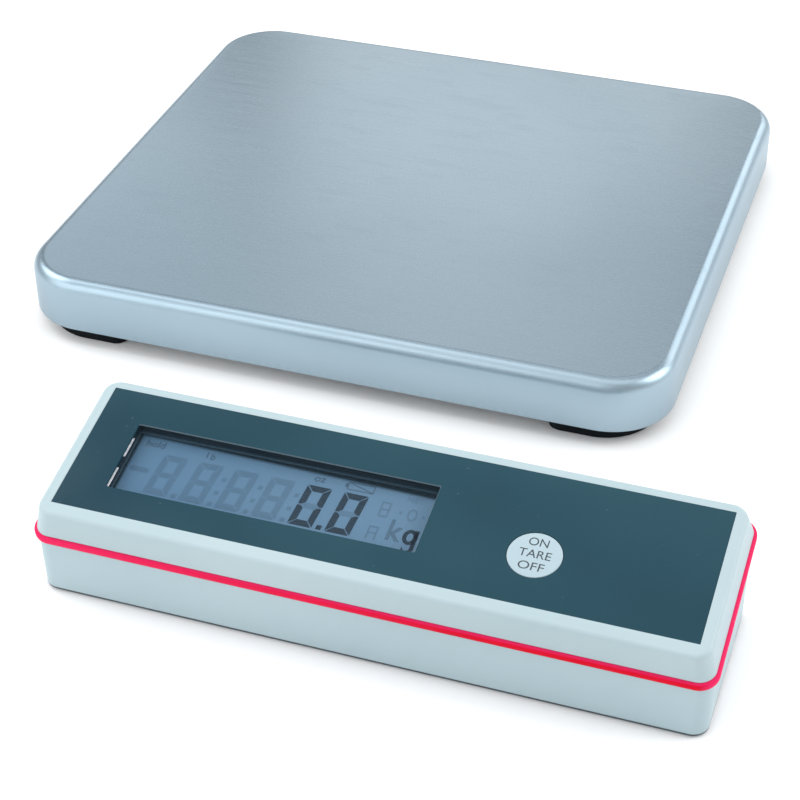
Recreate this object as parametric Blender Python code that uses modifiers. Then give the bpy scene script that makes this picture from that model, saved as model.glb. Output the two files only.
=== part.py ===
"""Platform shipping scale: a stainless weighing platform and its free-standing display terminal.

The platform is a pan that lifts off four load buttons on bending-beam cells. The terminal is a
wedge-shaped housing with a tilted display panel, one key and a battery door underneath.
"""

from math import cos, pi, radians, sin, tan

import bmesh
import bpy
from mathutils import Matrix, Vector

MM = 0.001
FIT = 0.3 * MM  # gap left where two pieces rest against each other
OVERCUT = 1.0 * MM  # how far a cutter runs past the face it opens
SMOOTH_ANGLE = radians(35)
FULL_ROUND = 0.98  # share of half a thickness that a rounded end takes up

# Platform, overall
PLATFORM_WIDTH = 330 * MM
PLATFORM_DEPTH = 300 * MM
PLATFORM_HEIGHT = 36 * MM
PAN_SHEET = 1.2 * MM
PAN_CORNER = 32 * MM
PAN_EDGE = 6.5 * MM
SKIRT_LIFT = 8.5 * MM

# Stiffener under the pan
STIFFENER_GAP = 18.8 * MM
STIFFENER_SHEET = 2 * MM
STIFFENER_RIM = 10 * MM
STIFFENER_CORNER = 20 * MM
BUTTON_PLAY = 0.6 * MM

# Base tray
TRAY_GAP = 3 * MM
TRAY_SHEET = 2 * MM
TRAY_LIFT = 10 * MM
TRAY_RIM = 14 * MM
SEAT_HEIGHT = 3 * MM
SEAT_LENGTH = 26 * MM

# Platform feet
FOOT_SIDE = 48 * MM
FOOT_HEIGHT = 7.5 * MM
FOOT_EDGE = 1 * MM
FOOT_OUTER_CORNER = 27 * MM
FOOT_INNER_CORNER = 6 * MM
FOOT_NECK = 34 * MM
FOOT_STEM = 10 * MM
FOOT_HEAD = 14 * MM
FOOT_HEAD_HEIGHT = 3 * MM
FOOT_MARGIN_X = 7.5 * MM
FOOT_MARGIN_Y = 5.7 * MM

# Load cells
CELL_LENGTH = 70 * MM
CELL_WIDTH = 14 * MM
CELL_WALL = 2 * MM
CELL_END_INSET = 33 * MM
CELL_ROW_INSET = 52 * MM
STRAIN_WINDOW_LENGTH = 22 * MM
CELL_SCREW = 5 * MM
CELL_SCREW_HEAD = 9 * MM
CELL_SCREW_HEAD_HEIGHT = 3 * MM
CELL_SCREW_PLACES = (7 * MM, 19 * MM)

# Load buttons
BUTTON_SETBACK = 9 * MM
BUTTON_STUD = 6 * MM
BUTTON_COLLAR = 16 * MM
BUTTON_COLLAR_HEIGHT = 3 * MM
BUTTON_CAP = 13 * MM
BUTTON_CAP_RISE = 3.4 * MM
LOAD_TRAVEL = 0.5 * MM

# Junction board, leads and cable inlet of the platform
JUNCTION_LENGTH = 50 * MM
JUNCTION_DEPTH = 36 * MM
BOARD_SHEET = 1.6 * MM
JUNCTION_BLOCK_LENGTH = 40 * MM
JUNCTION_BLOCK_DEPTH = 10 * MM
JUNCTION_BLOCK_HEIGHT = 7 * MM
POST_DIAMETER = 8 * MM
POST_SPREAD = 36 * MM
LEAD_DIAMETER = 3 * MM
LEAD_BEND = 9 * MM
GROMMET_BORE = 4.2 * MM
GROMMET_NECK = 6.4 * MM
GROMMET_FLANGE = 9 * MM
GROMMET_LIP = 1.2 * MM

# Terminal, overall
TERMINAL_LENGTH = 287.9 * MM
SEAM_DEPTH = 82.8 * MM
PANEL_TILT = radians(11.68)
FRONT_HEIGHT = 28.62 * MM
COVER_RISE = 14.4 * MM
TERMINAL_OFFSET = 78.6 * MM
TERMINAL_GAP = 89.3 * MM
TERMINAL_LIFT = 0.5 * MM
TERMINAL_CORNER = 7 * MM

# Terminal base
BASE_WALL = 2.2 * MM
BASE_FLOOR = 3 * MM
BASE_DRAFT = radians(1)
BASE_EDGE = 1 * MM
BOSS_INSET_X = 9.95 * MM
BOSS_INSET_Y = 12.5 * MM
BOSS_DIAMETER = 9 * MM
COVER_SCREW = 3 * MM
COVER_SCREW_HEAD = 5.6 * MM
COVER_SCREW_HEAD_HEIGHT = 2.4 * MM
COVER_SCREW_SINK = 9 * MM
COVER_SCREW_GRIP = 7 * MM
PAD_DIAMETER = 12 * MM
PAD_SINK = 1 * MM
PAD_INSET_X = 31.95 * MM
PAD_INSET_Y = 13.5 * MM

# Terminal cover
COVER_WALL = 2.2 * MM
COVER_TOP = 3.2 * MM
COVER_DRAFT = radians(12)
COVER_EDGE = 1.6 * MM
COVER_BOSS_DIAMETER = 8 * MM

# Seam gasket
GASKET_HEIGHT = 4 * MM
GASKET_PROUD = 1.5 * MM

# Front foil and display
FOIL_INSET_X = 7.75 * MM
FOIL_INSET_Y = 8.3 * MM
FOIL_SHEET = 0.6 * MM
FOIL_CORNER = 0.3 * MM
FOIL_SHIFT = 1.05 * MM
WINDOW_LEFT = 18.7 * MM  # margins from the foil's edges to the window
WINDOW_RIGHT = 118.5 * MM
WINDOW_FRONT = 13.7 * MM
WINDOW_BACK = 17.1 * MM
PANE_SHEET = 1.2 * MM
PANE_LAP = 2 * MM
DISPLAY_SINK = 6 * MM
LCD_SHEET = 2.8 * MM
LCD_LAP = 3.5 * MM
FRAME_WALL = 3 * MM
FRAME_REVEAL = 0.4 * MM
ZEBRA_WIDTH = 2.5 * MM
ZEBRA_HEIGHT = 2.4 * MM

# Main board
BOARD_BOSS = 5.6 * MM
BOARD_BOSS_GAP = 4 * MM
BOARD_BOSS_INSET = 24.3 * MM
BOARD_BOSS_PAST_KEY = 16 * MM
BOARD_MARGIN = 4.5 * MM
BOARD_SCREW = 2.5 * MM
BOARD_SCREW_HEAD = 5 * MM
BOARD_SCREW_HEAD_HEIGHT = 1.8 * MM
BOARD_SCREW_GRIP = 6 * MM

# Key and its switch
KEY_DIAMETER = 22.5 * MM
KEY_PAST_WINDOW = 46.8 * MM
KEY_FROM_FRONT = 24.8 * MM
KEY_TRAVEL = 0.5 * MM
KEY_FLANGE_LAP = 1.75 * MM
KEY_FLANGE_HEIGHT = 1.2 * MM
KEY_STEM = 7 * MM
KEY_STEM_LENGTH = 0.9 * MM
PLUNGER_DIAMETER = 6 * MM
PLUNGER_LENGTH = 3.1 * MM
PLUNGER_STAND = 1.7 * MM
SWITCH_SIDE = 12 * MM

# Battery bay
BATTERY_LENGTH = 46 * MM
BATTERY_WIDTH = 26.4 * MM
BATTERY_HEIGHT = 17.4 * MM
BATTERY_SNAP = 6 * MM
BATTERY_SNAP_HEIGHT = 2.5 * MM
BATTERY_SNAP_SPREAD = 12.7 * MM
CLIP_SHEET = 3 * MM
CLIP_HEIGHT = 12 * MM
CLIP_ROOM = 8 * MM
BAY_X = -40 * MM
BAY_WALL = 1.6 * MM
DOOR_PIN = 1.6 * MM
DOOR_PIN_LENGTH = 1.5 * MM
FINGER_NOTCH = 16 * MM
FINGER_NOTCH_DEPTH = 1.2 * MM

# Terminal socket
SOCKET_INSET = 83.95 * MM
SOCKET_HEIGHT = 22 * MM
SOCKET_BARREL = 14 * MM
SOCKET_FLANGE_LAP = 1.5 * MM
SOCKET_LIP = 1.2 * MM
SOCKET_LENGTH = 13 * MM
SOCKET_BORE = 10 * MM
SOCKET_BORE_DEPTH = 9 * MM

# Heights and places that follow from the sizes above
PAN_UNDERSIDE = PLATFORM_HEIGHT - PAN_SHEET
TRAY_TOP = TRAY_LIFT + TRAY_SHEET
CELL_UNDERSIDE = TRAY_TOP + SEAT_HEIGHT + FIT
BUTTON_TOP = PAN_UNDERSIDE - FIT
COLLAR_TOP = BUTTON_TOP - BUTTON_CAP_RISE
COLLAR_FOOT = COLLAR_TOP - BUTTON_COLLAR_HEIGHT
CELL_TOP = COLLAR_FOOT - LOAD_TRAVEL - FIT
CELL_HEIGHT = CELL_TOP - CELL_UNDERSIDE
CELL_CORE = CELL_HEIGHT - 2 * CELL_WALL  # height of the strain window, and reach of screws and studs
CELL_FREE_END = PLATFORM_WIDTH / 2 - CELL_END_INSET
CELL_FIXED_END = CELL_FREE_END - CELL_LENGTH
CELL_ROW = PLATFORM_DEPTH / 2 - CELL_ROW_INSET
BUTTON_X = CELL_FREE_END - BUTTON_SETBACK
SKIRT_INSIDE_X = PLATFORM_WIDTH / 2 - PAN_SHEET
SKIRT_INSIDE_Y = PLATFORM_DEPTH / 2 - PAN_SHEET
TRAY_HALF_X = SKIRT_INSIDE_X - TRAY_GAP
TRAY_HALF_Y = SKIRT_INSIDE_Y - TRAY_GAP
TRAY_CORNER = PAN_CORNER - PAN_SHEET - TRAY_GAP
BASE_PLAN_DEPTH = SEAM_DEPTH * cos(PANEL_TILT)
SEAM_MID_HEIGHT = FRONT_HEIGHT + SEAM_DEPTH / 2 * sin(PANEL_TILT)
PANEL_Y = -COVER_RISE * sin(PANEL_TILT)
PANEL_Z = SEAM_MID_HEIGHT + COVER_RISE * cos(PANEL_TILT)
COVER_RIM = COVER_RISE - GASKET_HEIGHT / 2 - FIT
BASE_RIM = COVER_RISE + GASKET_HEIGHT / 2 + FIT
COVER_LEAN = COVER_RIM * tan(COVER_DRAFT)
BOSS_X = TERMINAL_LENGTH / 2 - BOSS_INSET_X
BOSS_Y = BASE_PLAN_DEPTH / 2 - BOSS_INSET_Y
PAD_X = TERMINAL_LENGTH / 2 - PAD_INSET_X
PAD_Y = BASE_PLAN_DEPTH / 2 - PAD_INSET_Y
SOCKET_X = TERMINAL_LENGTH / 2 - SOCKET_INSET
SOCKET_FLANGE = SOCKET_BARREL + 2 * SOCKET_FLANGE_LAP
FOIL_RECESS = FOIL_SHEET + FIT
FOIL_LENGTH = TERMINAL_LENGTH - 2 * FOIL_INSET_X
FOIL_DEPTH = SEAM_DEPTH - 2 * FOIL_INSET_Y
FOIL_LEFT = -FOIL_LENGTH / 2
FOIL_FRONT = FOIL_SHIFT - FOIL_DEPTH / 2
WINDOW_LENGTH = FOIL_LENGTH - WINDOW_LEFT - WINDOW_RIGHT
WINDOW_DEPTH = FOIL_DEPTH - WINDOW_FRONT - WINDOW_BACK
WINDOW_U = FOIL_LEFT + WINDOW_LEFT + WINDOW_LENGTH / 2
WINDOW_V = FOIL_FRONT + WINDOW_FRONT + WINDOW_DEPTH / 2
WINDOW_CENTRE = (WINDOW_U, WINDOW_V)
KEY_U = WINDOW_U + WINDOW_LENGTH / 2 + KEY_PAST_WINDOW
KEY_CENTRE = (KEY_U, FOIL_FRONT + KEY_FROM_FRONT)
KEY_HOLE = KEY_DIAMETER + 2 * FIT
KEY_FLANGE = KEY_DIAMETER + 2 * KEY_FLANGE_LAP
LCD_LENGTH = WINDOW_LENGTH + 2 * LCD_LAP
LCD_DEPTH = WINDOW_DEPTH + 2 * LCD_LAP
FRAME_LENGTH = LCD_LENGTH + 2 * (FIT + FRAME_WALL)
FRAME_DEPTH = LCD_DEPTH + 2 * (FIT + FRAME_WALL)
BOARD_TOP = DISPLAY_SINK + LCD_SHEET + FIT + ZEBRA_HEIGHT + FIT
BOARD_UNDERSIDE = BOARD_TOP + BOARD_SHEET
BOARD_BOSS_V = FRAME_DEPTH / 2 + BOARD_BOSS_GAP
BOARD_LEFT = WINDOW_U - FRAME_LENGTH / 2
BOARD_BOSS_RIGHT = KEY_U + BOARD_BOSS_PAST_KEY
BOARD_RIGHT = BOARD_BOSS_RIGHT + BOARD_MARGIN
BASE_UNDERSIDE = TERMINAL_LIFT
BASE_INSIDE = TERMINAL_LIFT + BASE_FLOOR
BATTERY_UNDERSIDE = BASE_INSIDE + FIT
BAY_LENGTH = BATTERY_LENGTH + CLIP_ROOM + 2 * FIT
BAY_DEPTH = BATTERY_WIDTH + 2 * FIT
BAY_ROOF = BATTERY_UNDERSIDE + BATTERY_HEIGHT + FIT
BATTERY_X = BAY_X - BAY_LENGTH / 2 + FIT + BATTERY_LENGTH / 2
BATTERY_MID_HEIGHT = BATTERY_UNDERSIDE + BATTERY_HEIGHT / 2
DOOR_AXIS_Y = BAY_DEPTH / 2 - FIT - BASE_FLOOR / 2
DOOR_AXIS_Z = TERMINAL_LIFT + BASE_FLOOR / 2

FINISHES = {
    "stainless": ((0.50, 0.56, 0.60), 0.33, 1.0, 1.0),
    "zinc_steel": ((0.55, 0.56, 0.57), 0.45, 1.0, 1.0),
    "aluminium": ((0.70, 0.71, 0.73), 0.40, 1.0, 1.0),
    "black_rubber": ((0.02, 0.02, 0.02), 0.75, 0.0, 1.0),
    "pale_plastic": ((0.78, 0.82, 0.84), 0.45, 0.0, 1.0),
    "black_plastic": ((0.03, 0.03, 0.03), 0.50, 0.0, 1.0),
    "red_seal": ((0.85, 0.02, 0.06), 0.40, 0.0, 1.0),
    "dark_foil": ((0.05, 0.08, 0.09), 0.35, 0.0, 1.0),
    "clear": ((0.95, 0.97, 1.00), 0.05, 0.0, 0.2),
    "display": ((0.30, 0.40, 0.52), 0.25, 0.0, 1.0),
    "key_pale": ((0.72, 0.78, 0.80), 0.40, 0.0, 1.0),
    "board": ((0.03, 0.20, 0.09), 0.45, 0.0, 1.0),
    "battery_case": ((0.10, 0.10, 0.12), 0.35, 0.0, 1.0),
    "lead": ((0.15, 0.15, 0.16), 0.55, 0.0, 1.0),
}


def clear_scene():
    for obj in list(bpy.data.objects):
        bpy.data.objects.remove(obj, do_unlink=True)
    for group in list(bpy.data.collections):
        bpy.data.collections.remove(group)


def make_collection(name):
    group = bpy.data.collections.new(name)
    bpy.context.scene.collection.children.link(group)
    return group


def make_material(name, finish):
    colour, roughness, metallic, alpha = FINISHES[finish]
    material = bpy.data.materials.new(name)
    material.use_nodes = True
    shader = material.node_tree.nodes["Principled BSDF"]
    shader.inputs["Base Color"].default_value = (*colour, 1.0)
    shader.inputs["Roughness"].default_value = roughness
    shader.inputs["Metallic"].default_value = metallic
    shader.inputs["Alpha"].default_value = alpha
    material.diffuse_color = (*colour, alpha)
    return material


def place(obj, parent, location, rotation):
    obj.parent = parent
    obj.location = location
    obj.rotation_euler = rotation


def add_empty(name, parent, location, rotation=(0, 0, 0)):
    empty = bpy.data.objects.new(name, None)
    parts.objects.link(empty)
    place(empty, parent, location, rotation)
    return empty


def mesh_from(name, bm):
    mesh = bpy.data.meshes.new(name)
    bm.to_mesh(mesh)
    bm.free()
    mesh.shade_smooth()
    mesh.set_sharp_from_angle(angle=SMOOTH_ANGLE)
    return mesh


def add_object(name, mesh, finish, parent, location, rotation):
    obj = bpy.data.objects.new(name, mesh)
    parts.objects.link(obj)
    place(obj, parent, location, rotation)
    mesh.materials.append(make_material(name, finish))
    return obj


def add_part(name, bm, finish, parent, location=(0, 0, 0), rotation=(0, 0, 0)):
    return add_object(name, mesh_from(name, bm), finish, parent, location, rotation)


def combine(target, operation, name, bm, parent, location=(0, 0, 0), rotation=(0, 0, 0)):
    """Cut a hidden helper out of the target, or join it on, with a Boolean."""
    tool = bpy.data.objects.new(f"{target.name}_{name}", mesh_from(name, bm))
    cutters.objects.link(tool)
    place(tool, parent, location, rotation)
    tool.hide_render = True
    tool.display_type = "WIRE"
    modifier = target.modifiers.new(name, "BOOLEAN")
    modifier.operation = operation
    modifier.object = tool


def cut(target, name, bm, parent, location=(0, 0, 0), rotation=(0, 0, 0)):
    combine(target, "DIFFERENCE", name, bm, parent, location, rotation)


def join(target, name, bm, parent, location=(0, 0, 0), rotation=(0, 0, 0)):
    combine(target, "UNION", name, bm, parent, location, rotation)


def round_edges(bm, edges, radius, steps):
    bmesh.ops.bevel(
        bm,
        geom=edges,
        offset=radius,
        offset_type="OFFSET",
        segments=steps,
        profile=0.5,
        affect="EDGES",
        material=-1,
    )


def rim_edges(bm, height):
    """The edges that lie level at the given height."""
    near = 1e-6
    return [e for e in bm.edges if all(abs(v.co.z - height) < near for v in e.verts)]


def rounded_box(width, depth, height, corner=0.0, lean=0.0, top=0.0, bottom=0.0, steps=5, edge_steps=3):
    """A box that stands on z = 0, with round upright corners and rims; its top leans in by lean a side."""
    bm = bmesh.new()
    bmesh.ops.create_cube(bm, size=1)
    bmesh.ops.translate(bm, vec=(0, 0, 0.5), verts=bm.verts)
    bmesh.ops.scale(bm, vec=(width, depth, height), verts=bm.verts)
    upper = [v for v in bm.verts if v.co.z > height / 2]
    bmesh.ops.scale(bm, vec=(1 - 2 * lean / width, 1 - 2 * lean / depth, 1), verts=upper)
    if corner:
        uprights = [e for e in bm.edges if abs(e.verts[0].co.z - e.verts[1].co.z) > height / 2]
        round_edges(bm, uprights, corner, steps)
    if top:
        round_edges(bm, rim_edges(bm, height), top, edge_steps)
    if bottom:
        round_edges(bm, rim_edges(bm, 0.0), bottom, edge_steps)
    return bm


def cylinder(diameter, height, steps=16, top=None):
    """A cylinder that stands on z = 0, or a cone where its top has a diameter of its own."""
    bm = bmesh.new()
    bmesh.ops.create_cone(
        bm,
        cap_ends=True,
        segments=steps,
        radius1=diameter / 2,
        radius2=(top or diameter) / 2,
        depth=height,
    )
    bmesh.ops.translate(bm, vec=(0, 0, height / 2), verts=bm.verts)
    return bm


def slanted_post(diameter, low, high, steps=12):
    """An upright post whose ends are parallel to the tilted panel; low and high are on its axis."""
    bm = cylinder(diameter, high - low, steps)
    slant = Matrix.Identity(4)
    slant[2][1] = tan(PANEL_TILT)
    slant[2][3] = low
    bmesh.ops.transform(bm, matrix=slant, verts=bm.verts)
    return bm


def add_turned(name, profile, finish, parent, location=(0, 0, 0), rotation=(0, 0, 0), steps=16, ring=False):
    """A turned piece. The profile's (radius, height) points run down its outer side; a ring's close up."""
    bm = bmesh.new()
    points = [bm.verts.new((radius, 0, height)) for radius, height in profile]
    for first, second in zip(points, points[1:]):
        bm.edges.new((first, second))
    if ring:
        bm.edges.new((points[-1], points[0]))
    mesh = bpy.data.meshes.new(name)
    bm.to_mesh(mesh)
    bm.free()
    obj = add_object(name, mesh, finish, parent, location, rotation)
    screw = obj.modifiers.new("turn", "SCREW")
    screw.axis = "Z"
    screw.angle = 2 * pi
    screw.steps = steps
    screw.render_steps = steps
    screw.use_merge_vertices = True
    screw.merge_threshold = 1e-5
    screw.use_smooth_shade = False
    return obj


def screw_profile(shank, head, head_height, grip):
    """A pan-head screw with its head's bearing face at z = 0 and its shank upwards."""
    chamfer = head_height / 3
    return [
        (0, grip),
        (shank / 2, grip),
        (shank / 2, 0),
        (head / 2, 0),
        (head / 2, -head_height + chamfer),
        (head / 2 - chamfer, -head_height),
        (0, -head_height),
    ]


def smooth_route(points, per_span=3):
    """Points along a Catmull-Rom curve through the route's own points."""
    ends = [2 * points[0] - points[1], *points, 2 * points[-1] - points[-2]]
    route = []
    for a, b, c, d in zip(ends, ends[1:], ends[2:], ends[3:]):
        for k in range(per_span):
            t = k / per_span
            bend = (2 * a - 5 * b + 4 * c - d) * t * t + (3 * b - a - 3 * c + d) * t**3
            route.append(b + ((c - a) * t + bend) / 2)
    return [*route, points[-1]]


def add_lead(name, points, parent):
    curve = bpy.data.curves.new(name, "CURVE")
    curve.dimensions = "3D"
    curve.bevel_depth = LEAD_DIAMETER / 2
    curve.bevel_resolution = 1
    curve.use_fill_caps = True
    route = smooth_route([Vector(point) for point in points])
    spline = curve.splines.new("POLY")
    spline.points.add(len(route) - 1)
    for knot, point in zip(spline.points, route):
        knot.co = (*point, 1)
    obj = bpy.data.objects.new(name, curve)
    parts.objects.link(obj)
    place(obj, parent, (0, 0, 0), (0, 0, 0))
    curve.materials.append(make_material(name, "lead"))


def open_shell(name, bm, open_height, sheet, finish, parent, location):
    """A sheet shell: the box's face at the given height is left off, and the wall grows inwards."""
    lid = [f for f in bm.faces if all(abs(v.co.z - open_height) < 1e-6 for v in f.verts)]
    bmesh.ops.delete(bm, geom=lid, context="FACES_ONLY")
    obj = add_part(name, bm, finish, parent, location)
    wall = obj.modifiers.new("sheet", "SOLIDIFY")
    wall.thickness = sheet
    wall.offset = -1
    wall.use_even_offset = True
    return obj


def corners():
    """The four quarters of the platform, as signs, in the order of the numbered pieces."""
    return enumerate(((-1, -1), (1, -1), (-1, 1), (1, 1)), start=1)


def plane_height(y, depth):
    """Height, in the terminal's frame, of the plane that lies this far under the panel's face."""
    return PANEL_Z + (y - PANEL_Y) * tan(PANEL_TILT) - depth / cos(PANEL_TILT)


def build_pan(frame):
    height = PLATFORM_HEIGHT - SKIRT_LIFT
    shape = rounded_box(
        PLATFORM_WIDTH, PLATFORM_DEPTH, height, PAN_CORNER, top=PAN_EDGE, steps=8, edge_steps=4
    )
    open_shell("weighing_pan", shape, 0.0, PAN_SHEET, "stainless", frame, (0, 0, SKIRT_LIFT))


def build_stiffener(frame):
    width = 2 * (SKIRT_INSIDE_X - STIFFENER_GAP)
    depth = 2 * (SKIRT_INSIDE_Y - STIFFENER_GAP)
    foot = PAN_UNDERSIDE - FIT - STIFFENER_RIM
    shape = rounded_box(width, depth, STIFFENER_RIM, STIFFENER_CORNER, steps=3)
    plate = open_shell("pan_stiffener", shape, 0.0, STIFFENER_SHEET, "zinc_steel", frame, (0, 0, foot))
    hole = BUTTON_CAP + 2 * BUTTON_PLAY
    for number, (side, end) in corners():
        spot = (side * BUTTON_X, end * CELL_ROW, foot)
        cut(plate, f"button_hole_{number}", cylinder(hole, STIFFENER_RIM + OVERCUT), frame, spot)


def build_tray(frame):
    shape = rounded_box(2 * TRAY_HALF_X, 2 * TRAY_HALF_Y, TRAY_RIM, TRAY_CORNER, steps=5)
    tray = open_shell("base_tray", shape, TRAY_RIM, TRAY_SHEET, "zinc_steel", frame, (0, 0, TRAY_LIFT))
    floor = TRAY_TOP - TRAY_SHEET / 2
    seat_rise = TRAY_SHEET / 2 + SEAT_HEIGHT
    drill = TRAY_SHEET + SEAT_HEIGHT + 2 * OVERCUT
    for number, (side, end) in corners():
        seat = rounded_box(SEAT_LENGTH, CELL_WIDTH, seat_rise)
        seat_x = CELL_FIXED_END + SEAT_LENGTH / 2
        join(tray, f"seat_{number}", seat, frame, (side * seat_x, end * CELL_ROW, floor))
    for side in (-1, 1):
        post = cylinder(POST_DIAMETER, seat_rise, 12)
        join(tray, f"post_{side}", post, frame, (side * POST_SPREAD / 2, 0, floor))
    for number, (side, end) in corners():
        for letter, setback in zip("ab", CELL_SCREW_PLACES):
            hole = cylinder(CELL_SCREW + 2 * FIT, drill, 12)
            hole_x = side * (CELL_FIXED_END + setback)
            spot = (hole_x, end * CELL_ROW, TRAY_LIFT - OVERCUT)
            cut(tray, f"screw_hole_{number}{letter}", hole, frame, spot)
        stem_hole = cylinder(FOOT_STEM + 2 * FIT, TRAY_SHEET + 2 * OVERCUT)
        cut(tray, f"stem_hole_{number}", stem_hole, frame, (*foot_spot(side, end), TRAY_LIFT - OVERCUT))
    inlet = cylinder(GROMMET_NECK + 2 * FIT, TRAY_SHEET + 2 * OVERCUT)
    cut(tray, "cable_hole", inlet, frame, (0, TRAY_HALF_Y + OVERCUT, inlet_height()), (pi / 2, 0, 0))


def foot_spot(side, end):
    x = PLATFORM_WIDTH / 2 - FOOT_MARGIN_X - FOOT_SIDE / 2
    y = PLATFORM_DEPTH / 2 - FOOT_MARGIN_Y - FOOT_SIDE / 2
    return side * x, end * y


def inlet_height():
    return (TRAY_TOP + TRAY_LIFT + TRAY_RIM) / 2


def corner_pad(side, end):
    """A square pad on z = 0 whose corner towards the platform's own corner is widely rounded."""
    bm = rounded_box(FOOT_SIDE, FOOT_SIDE, FOOT_HEIGHT)
    uprights = [e for e in bm.edges if e.verts[0].co.xy == e.verts[1].co.xy]
    uprights.sort(key=lambda e: e.verts[0].co.x * side + e.verts[0].co.y * end)
    *inner, outer = uprights
    round_edges(bm, inner, FOOT_INNER_CORNER, 4)
    round_edges(bm, [outer], FOOT_OUTER_CORNER, 8)
    for height in (0.0, FOOT_HEIGHT):
        round_edges(bm, rim_edges(bm, height), FOOT_EDGE, 2)
    return bm


def build_feet(frame):
    sunk = FOOT_HEIGHT / 2
    neck_top = TRAY_LIFT - FIT
    head_foot = TRAY_TOP + FIT
    stem_top = head_foot + FOOT_HEAD_HEIGHT / 2
    for number, (side, end) in corners():
        x, y = foot_spot(side, end)
        foot = add_part(f"foot_{number}", corner_pad(side, end), "black_rubber", frame, (x, y, 0))
        join(foot, "neck", cylinder(FOOT_NECK, neck_top - sunk, 24), frame, (x, y, sunk))
        join(foot, "stem", cylinder(FOOT_STEM, stem_top - sunk), frame, (x, y, sunk))
        head = cylinder(FOOT_HEAD, FOOT_HEAD_HEIGHT, top=FOOT_STEM)
        join(foot, "head", head, frame, (x, y, head_foot))


def build_cells(frame):
    middle = CELL_FIXED_END + CELL_LENGTH / 2
    for number, (side, end) in corners():
        row = end * CELL_ROW
        beam = rounded_box(CELL_LENGTH, CELL_WIDTH, CELL_HEIGHT)
        spot = (side * middle, row, CELL_UNDERSIDE)
        cell = add_part(f"load_cell_{number}", beam, "aluminium", frame, spot)
        across = CELL_WIDTH + 2 * OVERCUT
        window = rounded_box(STRAIN_WINDOW_LENGTH, CELL_CORE, across, CELL_CORE / 2 * FULL_ROUND, steps=4)
        window_y = row + CELL_WIDTH / 2 + OVERCUT
        centre = (side * middle, window_y, CELL_UNDERSIDE + CELL_HEIGHT / 2)
        cut(cell, "strain_window", window, frame, centre, (pi / 2, 0, 0))
        stud_hole = cylinder(BUTTON_STUD + 2 * FIT, CELL_CORE + FIT + OVERCUT, 12)
        stud_foot = CELL_TOP - CELL_CORE - FIT
        cut(cell, "stud_hole", stud_hole, frame, (side * BUTTON_X, row, stud_foot))
        for letter, setback in zip("ab", CELL_SCREW_PLACES):
            hole = cylinder(CELL_SCREW + 2 * FIT, CELL_CORE + FIT + OVERCUT, 12)
            hole_x = side * (CELL_FIXED_END + setback)
            cut(cell, f"screw_hole_{letter}", hole, frame, (hole_x, row, CELL_UNDERSIDE - OVERCUT))
            grip = CELL_UNDERSIDE + CELL_CORE - (TRAY_LIFT - FIT)
            profile = screw_profile(CELL_SCREW, CELL_SCREW_HEAD, CELL_SCREW_HEAD_HEIGHT, grip)
            name = f"cell_screw_{number}{letter}"
            add_turned(name, profile, "zinc_steel", frame, (hole_x, row, TRAY_LIFT - FIT), steps=10)


def build_buttons(frame):
    stud_foot = CELL_TOP - CELL_CORE + LOAD_TRAVEL
    profile = [
        (0, BUTTON_TOP),
        (BUTTON_CAP / 2 - FIT, BUTTON_TOP),
        (BUTTON_CAP / 2, BUTTON_TOP - FIT),
        (BUTTON_CAP / 2, COLLAR_TOP),
        (BUTTON_COLLAR / 2, COLLAR_TOP),
        (BUTTON_COLLAR / 2, COLLAR_FOOT),
        (BUTTON_STUD / 2, COLLAR_FOOT),
        (BUTTON_STUD / 2, stud_foot),
        (0, stud_foot),
    ]
    for number, (side, end) in corners():
        spot = (side * BUTTON_X, end * CELL_ROW, 0)
        add_turned(f"load_button_{number}", profile, "black_rubber", frame, spot)


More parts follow.
